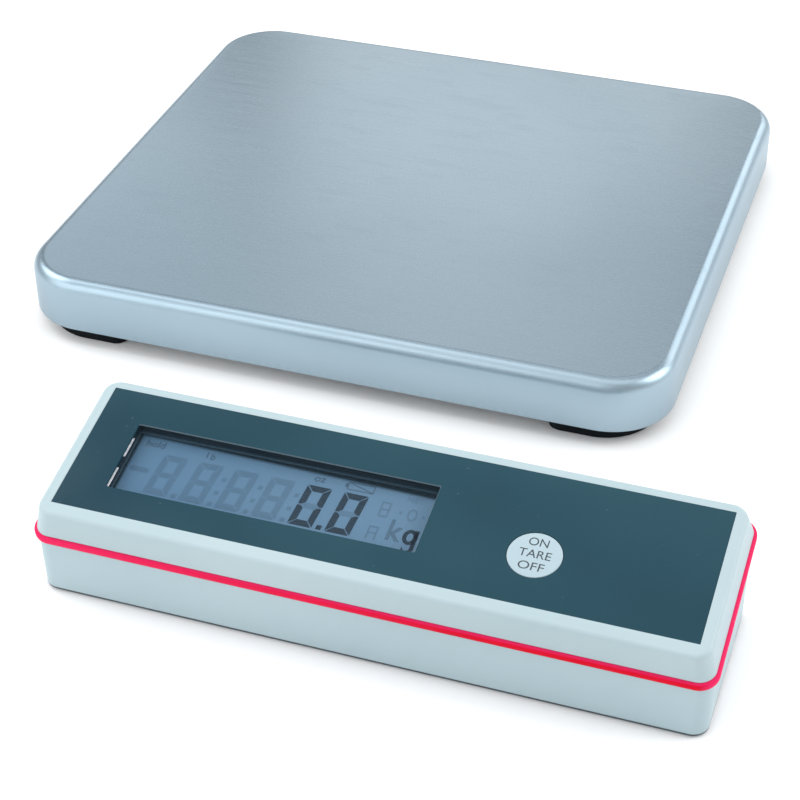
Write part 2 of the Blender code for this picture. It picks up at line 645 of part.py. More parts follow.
def build_junction(frame):
    foot = TRAY_TOP + SEAT_HEIGHT + FIT
    sheet = rounded_box(JUNCTION_LENGTH, JUNCTION_DEPTH, BOARD_SHEET)
    board = add_part("junction_board", sheet, "board", frame, (0, 0, foot))
    sunk = BOARD_SHEET / 2
    block = rounded_box(JUNCTION_BLOCK_LENGTH, JUNCTION_BLOCK_DEPTH, JUNCTION_BLOCK_HEIGHT + sunk)
    join(board, "terminal_block", block, frame, (0, 0, foot + sunk))
    reach = CELL_FIXED_END - FIT
    floor = TRAY_TOP + FIT + LEAD_DIAMETER / 2
    cell_mid = CELL_UNDERSIDE + CELL_HEIGHT / 2
    board_mid = foot + BOARD_SHEET / 2
    board_x = JUNCTION_LENGTH / 3
    board_y = JUNCTION_DEPTH / 2 + FIT
    drop_x = CELL_FIXED_END - 5 * LEAD_DIAMETER
    rise_y = board_y + LEAD_BEND
    for number, (side, end) in corners():
        route = [
            (side * reach, end * CELL_ROW, cell_mid),
            (side * (reach - LEAD_DIAMETER / 2), end * CELL_ROW, cell_mid),
            (side * (reach - LEAD_DIAMETER), end * CELL_ROW, cell_mid),
            (side * drop_x, end * (CELL_ROW - LEAD_BEND), floor + LEAD_DIAMETER / 2),
            (side * (drop_x + board_x) / 2, end * (CELL_ROW + rise_y) / 2, floor),
            (side * board_x, end * (rise_y + 2 * LEAD_DIAMETER), floor),
            (side * board_x, end * rise_y, floor + (board_mid - floor) / 2),
            (side * board_x, end * (board_y + LEAD_DIAMETER), board_mid),
            (side * board_x, end * board_y, board_mid),
        ]
        add_lead(f"cell_lead_{number}", route, frame)
    lip_foot = TRAY_SHEET / 2 + FIT
    lip_top = lip_foot + GROMMET_LIP
    profile = [
        (GROMMET_BORE / 2, lip_top),
        (GROMMET_FLANGE / 2, lip_top),
        (GROMMET_FLANGE / 2, lip_foot),
        (GROMMET_NECK / 2, lip_foot),
        (GROMMET_NECK / 2, -lip_foot),
        (GROMMET_FLANGE / 2, -lip_foot),
        (GROMMET_FLANGE / 2, -lip_top),
        (GROMMET_BORE / 2, -lip_top),
    ]
    spot = (0, TRAY_HALF_Y - TRAY_SHEET / 2, inlet_height())
    add_turned("cable_grommet", profile, "black_rubber", frame, spot, (pi / 2, 0, 0), ring=True)


def base_outline(inset, foot, top, bottom_edge=0.0):
    """The base's drafted outer form, or a form that lies inset from it, between two heights."""
    spread = (SEAM_MID_HEIGHT - foot) * tan(BASE_DRAFT) + inset
    lean = -(top - foot) * tan(BASE_DRAFT)
    return rounded_box(
        TERMINAL_LENGTH - 2 * spread,
        BASE_PLAN_DEPTH - 2 * spread,
        top - foot,
        TERMINAL_CORNER - inset,
        lean,
        bottom=bottom_edge,
        edge_steps=2,
    )


def screw_spots():
    return enumerate(((x * BOSS_X, y * BOSS_Y) for y in (-1, 1) for x in (-1, 1)), start=1)


def pad_spots():
    return enumerate(((x * PAD_X, y * PAD_Y) for y in (-1, 1) for x in (-1, 1)), start=1)


def build_base(frame, panel):
    top = PANEL_Z
    outer = base_outline(0.0, BASE_UNDERSIDE, top, BASE_EDGE)
    base = add_part("terminal_base", outer, "pale_plastic", frame, (0, 0, BASE_UNDERSIDE))
    inner = base_outline(BASE_WALL, BASE_INSIDE, top + OVERCUT)
    cut(base, "inside", inner, frame, (0, 0, BASE_INSIDE))
    sunk = BASE_FLOOR / 2
    bay_height = BAY_ROOF + BAY_WALL - BASE_INSIDE + sunk
    bay = rounded_box(BAY_LENGTH + 2 * BAY_WALL, BAY_DEPTH + 2 * BAY_WALL, bay_height)
    join(base, "bay", bay, frame, (BAY_X, 0, BASE_INSIDE - sunk))
    for number, (x, y) in screw_spots():
        post = slanted_post(BOSS_DIAMETER, BASE_INSIDE - sunk, plane_height(y, BASE_RIM - OVERCUT))
        join(base, f"boss_{number}", post, frame, (x, y, 0))
    lid = rounded_box(2 * TERMINAL_LENGTH, 2 * SEAM_DEPTH, 2 * PANEL_Z)
    cut(base, "seam", lid, panel, (0, 0, -BASE_RIM))
    hollow = rounded_box(BAY_LENGTH, BAY_DEPTH, BAY_ROOF - BASE_UNDERSIDE + OVERCUT)
    cut(base, "bay_hollow", hollow, frame, (BAY_X, 0, BASE_UNDERSIDE - OVERCUT))
    for number, (x, y) in screw_spots():
        sink = cylinder(COVER_SCREW_HEAD + 2 * FIT, COVER_SCREW_SINK + OVERCUT, 12)
        cut(base, f"screw_sink_{number}", sink, frame, (x, y, BASE_UNDERSIDE - OVERCUT))
        hole = cylinder(COVER_SCREW + 2 * FIT, PANEL_Z, 12)
        cut(base, f"screw_hole_{number}", hole, frame, (x, y, BASE_UNDERSIDE))
    for number, (x, y) in pad_spots():
        recess = cylinder(PAD_DIAMETER + 2 * FIT, PAD_SINK + OVERCUT)
        cut(base, f"pad_recess_{number}", recess, frame, (x, y, BASE_UNDERSIDE - OVERCUT))
    pin_room = BAY_LENGTH + 2 * (DOOR_PIN_LENGTH + FIT)
    pin_hole = cylinder(DOOR_PIN + 2 * FIT, pin_room, 10)
    pin_spot = (BAY_X - pin_room / 2, DOOR_AXIS_Y, DOOR_AXIS_Z)
    cut(base, "pin_hole", pin_hole, frame, pin_spot, (0, pi / 2, 0))
    notch = cylinder(FINGER_NOTCH, OVERCUT + FINGER_NOTCH_DEPTH, 24)
    cut(base, "finger_notch", notch, frame, (BAY_X, -BAY_DEPTH / 2, BASE_UNDERSIDE - OVERCUT))
    lead_hole = cylinder(LEAD_DIAMETER + 2 * FIT, BAY_WALL + 2 * OVERCUT, 12)
    lead_spot = (BAY_X + BAY_LENGTH / 2 - OVERCUT, 0, BATTERY_MID_HEIGHT)
    cut(base, "lead_hole", lead_hole, frame, lead_spot, (0, pi / 2, 0))
    barrel = cylinder(SOCKET_BARREL + 2 * FIT, 2 * SOCKET_LENGTH)
    socket_spot = (SOCKET_X, back_wall() + SOCKET_LENGTH, SOCKET_HEIGHT)
    cut(base, "socket_hole", barrel, frame, socket_spot, (pi / 2, 0, 0))


def back_wall():
    """Outer face of the base's back wall at the height of the socket."""
    return BASE_PLAN_DEPTH / 2 - (SEAM_MID_HEIGHT - SOCKET_HEIGHT) * tan(BASE_DRAFT)


def board_spots():
    us = (BOARD_LEFT + BOARD_BOSS_INSET, BOARD_BOSS_RIGHT)
    vs = (WINDOW_V - BOARD_BOSS_V, WINDOW_V + BOARD_BOSS_V)
    return enumerate(((u, v) for v in vs for u in us), start=1)


def build_cover(frame, panel):
    outer = rounded_box(
        TERMINAL_LENGTH, SEAM_DEPTH, COVER_RIM, TERMINAL_CORNER, COVER_LEAN, top=COVER_EDGE, edge_steps=4
    )
    cover = add_part("terminal_cover", outer, "pale_plastic", panel, (0, 0, -COVER_RIM))
    depth = COVER_RIM - COVER_TOP + OVERCUT
    spread = COVER_WALL - OVERCUT * tan(COVER_DRAFT)
    inner = rounded_box(
        TERMINAL_LENGTH - 2 * spread,
        SEAM_DEPTH - 2 * spread,
        depth,
        TERMINAL_CORNER - COVER_WALL,
        depth * tan(COVER_DRAFT),
    )
    cut(cover, "inside", inner, panel, (0, 0, -COVER_RIM - OVERCUT))
    wall_mid = (FOIL_RECESS + COVER_TOP) / 2
    for number, (x, y) in screw_spots():
        post = slanted_post(COVER_BOSS_DIAMETER, plane_height(y, COVER_RIM), plane_height(y, wall_mid))
        join(cover, f"boss_{number}", post, frame, (x, y, 0))
        bore_foot = plane_height(y, COVER_RIM + OVERCUT)
        bore_top = screw_tip(y) + FIT + COVER_SCREW / 2 * tan(PANEL_TILT)
        bore = slanted_post(COVER_SCREW + 2 * FIT, bore_foot, bore_top)
        cut(cover, f"bore_{number}", bore, frame, (x, y, 0))
    for number, (u, v) in board_spots():
        post = cylinder(BOARD_BOSS, BOARD_TOP - FIT - wall_mid, 14)
        join(cover, f"board_boss_{number}", post, panel, (u, v, -BOARD_TOP + FIT))
        bore = cylinder(BOARD_SCREW + 2 * FIT, BOARD_SCREW_GRIP + FIT + OVERCUT, 10)
        cut(cover, f"board_bore_{number}", bore, panel, (u, v, -BOARD_TOP - OVERCUT))
    recess_length = FOIL_LENGTH + 2 * FIT
    recess_depth = FOIL_DEPTH + 2 * FIT
    recess = rounded_box(recess_length, recess_depth, FOIL_RECESS + OVERCUT, FOIL_CORNER, steps=2)
    cut(cover, "foil_recess", recess, panel, (0, FOIL_SHIFT, -FOIL_RECESS))
    lap = PANE_LAP + FIT
    rebate_depth = FOIL_RECESS + PANE_SHEET + FIT
    rebate = rounded_box(WINDOW_LENGTH + 2 * lap, WINDOW_DEPTH + 2 * lap, rebate_depth)
    cut(cover, "pane_rebate", rebate, panel, (*WINDOW_CENTRE, -rebate_depth))
    opening = rounded_box(WINDOW_LENGTH + 2 * FRAME_REVEAL, WINDOW_DEPTH + 2 * FRAME_REVEAL, 2 * COVER_TOP)
    cut(cover, "window", opening, panel, (*WINDOW_CENTRE, -COVER_TOP - OVERCUT))
    key_hole = cylinder(KEY_HOLE, 2 * COVER_TOP, 24)
    cut(cover, "key_hole", key_hole, panel, (*KEY_CENTRE, -COVER_TOP - OVERCUT))


def screw_tip(y):
    """Height of the tip of a cover screw, inside the cover's boss."""
    return plane_height(y, COVER_RIM) + COVER_SCREW_GRIP


def build_gasket(panel):
    ring = rounded_box(
        TERMINAL_LENGTH + 2 * GASKET_PROUD,
        SEAM_DEPTH + 2 * GASKET_PROUD,
        GASKET_HEIGHT,
        TERMINAL_CORNER + GASKET_PROUD,
        top=GASKET_PROUD,
        bottom=GASKET_PROUD,
        edge_steps=3,
    )
    foot = -COVER_RISE - GASKET_HEIGHT / 2
    gasket = add_part("seam_gasket", ring, "red_seal", panel, (0, 0, foot))
    inner = rounded_box(
        TERMINAL_LENGTH - 2 * BASE_WALL,
        SEAM_DEPTH - 2 * BASE_WALL,
        GASKET_HEIGHT + 2 * OVERCUT,
        TERMINAL_CORNER - BASE_WALL,
    )
    cut(gasket, "inside", inner, panel, (0, 0, foot - OVERCUT))


def build_display(panel):
    foil_shape = rounded_box(FOIL_LENGTH, FOIL_DEPTH, FOIL_SHEET, FOIL_CORNER, steps=2)
    foil = add_part("front_foil", foil_shape, "dark_foil", panel, (0, FOIL_SHIFT, -FOIL_SHEET))
    through = FOIL_SHEET + 2 * OVERCUT
    opening = rounded_box(WINDOW_LENGTH, WINDOW_DEPTH, through)
    cut(foil, "window", opening, panel, (*WINDOW_CENTRE, -FOIL_SHEET - OVERCUT))
    key_hole = cylinder(KEY_HOLE, through, 24)
    cut(foil, "key_hole", key_hole, panel, (*KEY_CENTRE, -FOIL_SHEET - OVERCUT))

    pane = rounded_box(WINDOW_LENGTH + 2 * PANE_LAP, WINDOW_DEPTH + 2 * PANE_LAP, PANE_SHEET)
    add_part("display_window", pane, "clear", panel, (*WINDOW_CENTRE, -FOIL_RECESS - PANE_SHEET))

    frame_foot = BOARD_TOP - FIT
    frame_top = COVER_TOP + FIT
    surround = rounded_box(FRAME_LENGTH, FRAME_DEPTH, frame_foot - frame_top, FIT, steps=1)
    frame = add_part("display_frame", surround, "black_plastic", panel, (*WINDOW_CENTRE, -frame_foot))
    reveal = rounded_box(WINDOW_LENGTH + 2 * FRAME_REVEAL, WINDOW_DEPTH + 2 * FRAME_REVEAL, BOARD_TOP)
    cut(frame, "reveal", reveal, panel, (*WINDOW_CENTRE, -BOARD_TOP))
    pocket_height = frame_foot - DISPLAY_SINK + FIT + OVERCUT
    pocket = rounded_box(LCD_LENGTH + 2 * FIT, LCD_DEPTH + 2 * FIT, pocket_height)
    cut(frame, "pocket", pocket, panel, (*WINDOW_CENTRE, -frame_foot - OVERCUT))

    glass = rounded_box(LCD_LENGTH, LCD_DEPTH, LCD_SHEET)
    add_part("lcd_glass", glass, "display", panel, (*WINDOW_CENTRE, -DISPLAY_SINK - LCD_SHEET))
    for number, side in enumerate((-1, 1), start=1):
        strip = rounded_box(LCD_LENGTH - 2 * ZEBRA_WIDTH, ZEBRA_WIDTH, ZEBRA_HEIGHT)
        strip_v = WINDOW_V + side * (LCD_DEPTH / 2 - ZEBRA_WIDTH)
        spot = (WINDOW_U, strip_v, -frame_foot)
        add_part(f"zebra_strip_{number}", strip, "black_rubber", panel, spot)


def build_board(panel):
    depth = 2 * (BOARD_BOSS_V + BOARD_MARGIN)
    sheet = rounded_box(BOARD_RIGHT - BOARD_LEFT, depth, BOARD_SHEET)
    centre = ((BOARD_LEFT + BOARD_RIGHT) / 2, WINDOW_V, -BOARD_UNDERSIDE)
    board = add_part("main_board", sheet, "board", panel, centre)
    grip = BOARD_SHEET + FIT + BOARD_SCREW_GRIP
    profile = screw_profile(BOARD_SCREW, BOARD_SCREW_HEAD, BOARD_SCREW_HEAD_HEIGHT, grip)
    for number, (u, v) in board_spots():
        hole = cylinder(BOARD_SCREW + 2 * FIT, BOARD_SHEET + 2 * OVERCUT, 10)
        cut(board, f"hole_{number}", hole, panel, (u, v, -BOARD_UNDERSIDE - OVERCUT))
        spot = (u, v, -BOARD_UNDERSIDE - FIT)
        add_turned(f"board_screw_{number}", profile, "zinc_steel", panel, spot, steps=10)


def build_key(panel):
    flange_top = COVER_TOP + FIT
    flange_foot = flange_top + KEY_FLANGE_HEIGHT
    stem_foot = flange_foot + KEY_STEM_LENGTH
    radius = KEY_DIAMETER / 2
    profile = [
        (0, 0),
        (radius - FIT, 0),
        (radius, -FIT),
        (radius, -flange_top),
        (KEY_FLANGE / 2, -flange_top),
        (KEY_FLANGE / 2, -flange_foot),
        (KEY_STEM / 2, -flange_foot),
        (KEY_STEM / 2, -stem_foot),
        (0, -stem_foot),
    ]
    add_turned("key_cap", profile, "key_pale", panel, (*KEY_CENTRE, 0), steps=24)

    plunger_top = stem_foot + FIT
    plunger_foot = plunger_top + PLUNGER_LENGTH
    plunger = [
        (0, -plunger_top),
        (PLUNGER_DIAMETER / 2, -plunger_top),
        (PLUNGER_DIAMETER / 2, -plunger_foot),
        (0, -plunger_foot),
    ]
    add_turned("switch_plunger", plunger, "black_plastic", panel, (*KEY_CENTRE, 0))

    foot = BOARD_TOP - FIT
    block = rounded_box(SWITCH_SIDE, SWITCH_SIDE, foot - plunger_top - PLUNGER_STAND)
    switch = add_part("key_switch", block, "black_plastic", panel, (*KEY_CENTRE, -foot))
    well_foot = plunger_foot + KEY_TRAVEL + FIT
    well = cylinder(PLUNGER_DIAMETER + 2 * FIT, well_foot)
    cut(switch, "well", well, panel, (*KEY_CENTRE, -well_foot))


def lead_top(y):
    """Height at which an upright lead ends, just under the tilted main board."""
    return plane_height(y, BOARD_UNDERSIDE) - LEAD_DIAMETER / 2 * tan(PANEL_TILT) - FIT


def build_battery(frame):
    width = BAY_LENGTH - 2 * FIT
    depth = BAY_DEPTH - 2 * FIT
    plate = rounded_box(width, depth, BASE_FLOOR)
    near = BASE_FLOOR / 4
    hinge_side = [
        e
        for e in plate.edges
        if all(v.co.y > depth / 2 - near for v in e.verts) and abs(e.verts[0].co.x - e.verts[1].co.x) > near
    ]
    round_edges(plate, hinge_side, BASE_FLOOR / 2 * FULL_ROUND, 4)
    bmesh.ops.translate(plate, vec=(0, -DOOR_AXIS_Y, -BASE_FLOOR / 2), verts=plate.verts)
    axis = (BAY_X, DOOR_AXIS_Y, DOOR_AXIS_Z)
    door = add_part("battery_door", plate, "pale_plastic", frame, axis)
    pin = cylinder(DOOR_PIN, width + 2 * (DOOR_PIN_LENGTH + FIT), 10)
    pin_x = BAY_X - width / 2 - DOOR_PIN_LENGTH - FIT
    join(door, "pins", pin, frame, (pin_x, DOOR_AXIS_Y, DOOR_AXIS_Z), (0, pi / 2, 0))

    case = rounded_box(BATTERY_LENGTH, BATTERY_WIDTH, BATTERY_HEIGHT)
    battery = add_part("battery", case, "battery_case", frame, (BATTERY_X, 0, BATTERY_UNDERSIDE))
    end = BATTERY_X + BATTERY_LENGTH / 2
    clip_box = rounded_box(CLIP_SHEET, BATTERY_WIDTH - 2 * FIT, CLIP_HEIGHT)
    clip_spot = (end + FIT + CLIP_SHEET / 2, 0, BATTERY_MID_HEIGHT - CLIP_HEIGHT / 2)
    clip = add_part("battery_clip", clip_box, "black_plastic", frame, clip_spot)
    for side in (-1, 1):
        y = side * BATTERY_SNAP_SPREAD / 2
        snap = cylinder(BATTERY_SNAP, BATTERY_SNAP_HEIGHT + OVERCUT, 14)
        snap_spot = (end - OVERCUT, y, BATTERY_MID_HEIGHT)
        join(battery, f"snap_{side}", snap, frame, snap_spot, (0, pi / 2, 0))
        hole = cylinder(BATTERY_SNAP + 2 * FIT, CLIP_SHEET + 2 * OVERCUT, 14)
        hole_spot = (end + FIT - OVERCUT, y, BATTERY_MID_HEIGHT)
        cut(clip, f"snap_hole_{side}", hole, frame, hole_spot, (0, pi / 2, 0))

    start = end + 2 * FIT + CLIP_SHEET
    outside = BAY_X + BAY_LENGTH / 2 + BAY_WALL
    rise = outside + 2 * LEAD_BEND
    board_foot = lead_top(0)
    route = [
        (start, 0, BATTERY_MID_HEIGHT),
        (outside, 0, BATTERY_MID_HEIGHT),
        (outside + LEAD_BEND, 0, BATTERY_MID_HEIGHT + LEAD_BEND / 6),
        (rise, 0, BATTERY_MID_HEIGHT + LEAD_BEND),
        (rise, 0, board_foot - LEAD_BEND / 3),
        (rise, 0, board_foot),
    ]
    add_lead("battery_lead", route, frame)


def build_fixings(frame):
    for number, (x, y) in screw_spots():
        seat = BASE_UNDERSIDE + COVER_SCREW_SINK - FIT
        profile = screw_profile(COVER_SCREW, COVER_SCREW_HEAD, COVER_SCREW_HEAD_HEIGHT, screw_tip(y) - seat)
        add_turned(f"cover_screw_{number}", profile, "zinc_steel", frame, (x, y, seat), steps=10)
    pad_top = BASE_UNDERSIDE + PAD_SINK - FIT
    radius = PAD_DIAMETER / 2
    pad = [(0, pad_top), (radius, pad_top), (radius, FIT), (radius - FIT, 0), (0, 0)]
    for number, (x, y) in pad_spots():
        add_turned(f"terminal_foot_{number}", pad, "black_rubber", frame, (x, y, 0))


def build_socket(frame):
    lip_foot = SOCKET_FLANGE / 2 * tan(BASE_DRAFT) + FIT
    profile = [
        (0, lip_foot + SOCKET_LIP - SOCKET_BORE_DEPTH),
        (SOCKET_BORE / 2, lip_foot + SOCKET_LIP - SOCKET_BORE_DEPTH),
        (SOCKET_BORE / 2, lip_foot + SOCKET_LIP),
        (SOCKET_FLANGE / 2, lip_foot + SOCKET_LIP),
        (SOCKET_FLANGE / 2, lip_foot),
        (SOCKET_BARREL / 2, lip_foot),
        (SOCKET_BARREL / 2, -SOCKET_LENGTH),
        (0, -SOCKET_LENGTH),
    ]
    spot = (SOCKET_X, back_wall(), SOCKET_HEIGHT)
    add_turned("terminal_socket", profile, "black_plastic", frame, spot, (-pi / 2, 0, 0))

    start = back_wall() - SOCKET_LENGTH - FIT
    rise = start - 1.5 * LEAD_BEND
    board_foot = lead_top(rise)
    route = [
        (SOCKET_X, start, SOCKET_HEIGHT),
        (SOCKET_X, start - LEAD_BEND / 2, SOCKET_HEIGHT + LEAD_BEND / 12),
        (SOCKET_X, rise, SOCKET_HEIGHT + LEAD_BEND),
        (SOCKET_X, rise, board_foot - LEAD_BEND / 4),
        (SOCKET_X, rise, board_foot),
    ]
    add_lead("signal_lead", route, frame)


def build_scale():
    reach = TERMINAL_LENGTH / 2 + GASKET_PROUD
    left = min(-PLATFORM_WIDTH / 2, TERMINAL_OFFSET - reach)
    right = max(PLATFORM_WIDTH / 2, TERMINAL_OFFSET + reach)
    terminal_y = -PLATFORM_DEPTH / 2 - TERMINAL_GAP - BASE_PLAN_DEPTH / 2
    front = terminal_y - BASE_PLAN_DEPTH / 2 - GASKET_PROUD * cos(PANEL_TILT)
    centre_x = (left + right) / 2
    centre_y = (front + PLATFORM_DEPTH / 2) / 2

    platform = add_empty("platform_centre", None, (-centre_x, -centre_y, 0))
    terminal = add_empty("terminal_centre", None, (TERMINAL_OFFSET - centre_x, terminal_y - centre_y, 0))
    panel = add_empty("panel_face", terminal, (0, PANEL_Y, PANEL_Z), (PANEL_TILT, 0, 0))

    build_pan(platform)
    build_stiffener(platform)
    build_tray(platform)
    build_feet(platform)
    build_cells(platform)
    build_buttons(platform)
    build_junction(platform)

    build_base(terminal, panel)
    build_cover(terminal, panel)
    build_gasket(panel)
    build_display(panel)
    build_board(panel)
    build_key(panel)
    build_battery(terminal)
    build_fixings(terminal)
    build_socket(terminal)


clear_scene()
parts = make_collection("platform_shipping_scale")
cutters = make_collection("cutters")
build_scale()
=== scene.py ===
import math

import bmesh
import bpy
from mathutils import Matrix, Vector


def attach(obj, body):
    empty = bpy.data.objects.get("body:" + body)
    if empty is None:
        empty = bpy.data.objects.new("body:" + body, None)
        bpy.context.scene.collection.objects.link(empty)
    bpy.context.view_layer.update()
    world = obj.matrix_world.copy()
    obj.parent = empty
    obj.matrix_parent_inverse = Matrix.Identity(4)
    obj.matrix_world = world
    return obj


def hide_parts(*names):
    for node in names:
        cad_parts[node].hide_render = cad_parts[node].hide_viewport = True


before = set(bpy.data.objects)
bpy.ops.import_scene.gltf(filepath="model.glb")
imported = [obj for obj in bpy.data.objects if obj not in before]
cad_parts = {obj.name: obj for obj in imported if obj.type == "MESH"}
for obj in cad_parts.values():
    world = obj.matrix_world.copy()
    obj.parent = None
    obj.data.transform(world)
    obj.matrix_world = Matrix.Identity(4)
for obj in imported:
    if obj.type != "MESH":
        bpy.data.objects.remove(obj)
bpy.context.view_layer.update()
print("frame loaded")

mm = 0.001
quarter = math.pi / 2

# overall sizes in millimetres, as the solids have them
platform = dict(width=330, depth=300, height=36, left=-29.525, back=85.9271)
terminal = dict(length=287.9, depth=82.8, tilt=11.68, front=28.62, rise=14.4, left=49.075, back=-193.9155)

tilt = math.radians(terminal["tilt"])
planDepth = terminal["depth"] * math.cos(tilt)
seamMid = terminal["front"] + terminal["depth"] / 2 * math.sin(tilt)
panelY = -terminal["rise"] * math.sin(tilt)
panelZ = seamMid + terminal["rise"] * math.cos(tilt)

toMetres = Matrix.Scale(mm, 4)
platformPlace = toMetres @ Matrix.Translation((platform["left"], platform["back"], 0))
terminalPlace = toMetres @ Matrix.Translation((terminal["left"], terminal["back"], 0))
panelPlace = terminalPlace @ Matrix.Translation((0, panelY, panelZ)) @ Matrix.Rotation(tilt, 4, "X")

quarters = list(enumerate(((-1, -1), (1, -1), (-1, 1), (1, 1)), start=1))


# mesh tools, all in millimetres


def roundOff(bm, edges, radius, steps):
    bmesh.ops.bevel(
        bm, geom=edges, offset=radius, offset_type="OFFSET", segments=steps, profile=0.5, affect="EDGES", material=-1
    )


def levelEdges(bm, height):
    return [e for e in bm.edges if all(abs(v.co.z - height) < 1e-4 for v in e.verts)]


def block(width, depth, height, corner=0, lean=0, top=0, bottom=0, steps=10, edgeSteps=5):
    bm = bmesh.new()
    bmesh.ops.create_cube(bm, size=1)
    bmesh.ops.translate(bm, vec=(0, 0, 0.5), verts=bm.verts)
    bmesh.ops.scale(bm, vec=(width, depth, height), verts=bm.verts)
    upper = [v for v in bm.verts if v.co.z > height / 2]
    bmesh.ops.scale(bm, vec=(1 - 2 * lean / width, 1 - 2 * lean / depth, 1), verts=upper)
    if corner:
        roundOff(bm, [e for e in bm.edges if abs(e.verts[0].co.z - e.verts[1].co.z) > height / 2], corner, steps)
    if top:
        roundOff(bm, levelEdges(bm, height), top, edgeSteps)
    if bottom:
        roundOff(bm, levelEdges(bm, 0), bottom, edgeSteps)
    return bm


def rod(diameter, height, steps=32, top=0, bottom=0):
    bm = bmesh.new()
    bmesh.ops.create_cone(bm, cap_ends=True, segments=steps, radius1=diameter / 2, radius2=diameter / 2, depth=height)
    bmesh.ops.translate(bm, vec=(0, 0, height / 2), verts=bm.verts)
    if top:
        roundOff(bm, levelEdges(bm, height), top, 3)
    if bottom:
        roundOff(bm, levelEdges(bm, 0), bottom, 3)
    return bm


def turned(profile, steps=48, ring=False):
    # each profile point is a radius, a height and how far its corner is rounded
    bm = bmesh.new()
    line = [bm.verts.new((point[0], 0, point[1])) for point in profile]
    for pair in zip(line, line[1:] + line[:1] if ring else line[1:]):
        bm.edges.new(pair)
    for vert, point in zip(line, profile):
        if len(point) > 2:
            bmesh.ops.bevel(
                bm, geom=[vert], offset=point[2], offset_type="OFFSET", segments=4, profile=0.5, affect="VERTICES", material=-1
            )
    bmesh.ops.spin(
        bm, geom=bm.verts[:] + bm.edges[:], cent=(0, 0, 0), axis=(0, 0, 1), angle=2 * math.pi, steps=steps, use_merge=True
    )
    bmesh.ops.remove_doubles(bm, verts=bm.verts, dist=1e-4)
    bmesh.ops.recalc_face_normals(bm, faces=bm.faces)
    return bm


def moved(bm, x=0, y=0, z=0, turn=None):
    if turn:
        bmesh.ops.transform(bm, matrix=Matrix.Rotation(turn[0], 4, turn[1]), verts=bm.verts)
    bmesh.ops.translate(bm, vec=(x, y, z), verts=bm.verts)
    return bm


def joined(shapes):
    whole = bmesh.new()
    for bm in shapes:
        mesh = bpy.data.meshes.new("part")
        bm.to_mesh(mesh)
        bm.free()
        whole.from_mesh(mesh)
        bpy.data.meshes.remove(mesh)
    return whole


def helperObject(bm):
    mesh = bpy.data.meshes.new("helper")
    bm.to_mesh(mesh)
    bm.free()
    obj = bpy.data.objects.new("helper", mesh)
    bpy.context.scene.collection.objects.link(obj)
    return obj


def asMesh(obj):
    bpy.context.view_layer.update()
    return bpy.data.meshes.new_from_object(obj.evaluated_get(bpy.context.evaluated_depsgraph_get()))


def discard(obj):
    data = obj.data
    bpy.data.objects.remove(obj)
    if isinstance(data, bpy.types.Mesh):
        bpy.data.meshes.remove(data)


def carved(bm, tools, how="DIFFERENCE"):
    body = helperObject(bm)
    helpers = [helperObject(tool) for tool in tools]
    for helper in helpers:
        modifier = body.modifiers.new("carve", "BOOLEAN")
        modifier.operation = how
        modifier.object = helper
    mesh = asMesh(body)
    result = bmesh.new()
    result.from_mesh(mesh)
    bpy.data.meshes.remove(mesh)
    for obj in [body, *helpers]:
        discard(obj)
    return result


def lettering(text, size, thick, x=0, y=0, weight=0.0, widen=1.0):
    curve = bpy.data.curves.new("letters", "FONT")
    curve.body = text
    curve.size = size
    curve.extrude = thick / 2
    curve.offset = weight
    curve.align_x = "CENTER"
    curve.align_y = "CENTER"
    obj = bpy.data.objects.new("letters", curve)
    bpy.context.scene.collection.objects.link(obj)
    mesh = asMesh(obj)
    bm = bmesh.new()
    bm.from_mesh(mesh)
    bpy.data.meshes.remove(mesh)
    discard(obj)
    bmesh.ops.remove_doubles(bm, verts=bm.verts, dist=1e-5)
    low = Vector(min(v.co[i] for v in bm.verts) for i in range(3))
    high = Vector(max(v.co[i] for v in bm.verts) for i in range(3))
    middle = (low + high) / 2
    moved(bm, -middle.x, -middle.y, thick / 2 - middle.z)
    bmesh.ops.scale(bm, vec=(widen, 1, 1), verts=bm.verts)
    return moved(bm, x, y)


def tube(points, diameter, perSpan=6):
    ends = [2 * points[0] - points[1], *points, 2 * points[-1] - points[-2]]
    route = []
    for a, b, c, d in zip(ends, ends[1:], ends[2:], ends[3:]):
        for k in range(perSpan):
            t = k / perSpan
            bend = (2 * a - 5 * b + 4 * c - d) * t * t + (3 * b - a - 3 * c + d) * t**3
            route.append(b + ((c - a) * t + bend) / 2)
    route.append(points[-1])
    curve = bpy.data.curves.new("route", "CURVE")
    curve.dimensions = "3D"
    curve.bevel_depth = diameter / 2
    curve.bevel_resolution = 4
    curve.use_fill_caps = True
    spline = curve.splines.new("POLY")
    spline.points.add(len(route) - 1)
    for knot, point in zip(spline.points, route):
        knot.co = (*point, 1)
    obj = bpy.data.objects.new("route", curve)
    bpy.context.scene.collection.objects.link(obj)
    mesh = asMesh(obj)
    bm = bmesh.new()
    bm.from_mesh(mesh)
    bpy.data.meshes.remove(mesh)
    discard(obj)
    return bm


def addPiece(name, bm, place, finishes, body, nodes, smooth=32):
    bmesh.ops.transform(bm, matrix=place, verts=bm.verts)
    mesh = bpy.data.meshes.new(name)
    bm.to_mesh(mesh)
    bm.free()
    mesh.shade_smooth()
    mesh.set_sharp_from_angle(angle=math.radians(smooth))
    for finish in finishes:
        mesh.materials.append(finish)
    obj = bpy.data.objects.new(name, mesh)
    bpy.context.scene.collection.objects.link(obj)
    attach(obj, body)
    if nodes:
        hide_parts(*nodes)
    return obj


def paintFaces(bm, index, wanted):
    bm.normal_update()
    for face in bm.faces:
        if wanted(face):
            face.material_index = index
    return bm


# shader tools


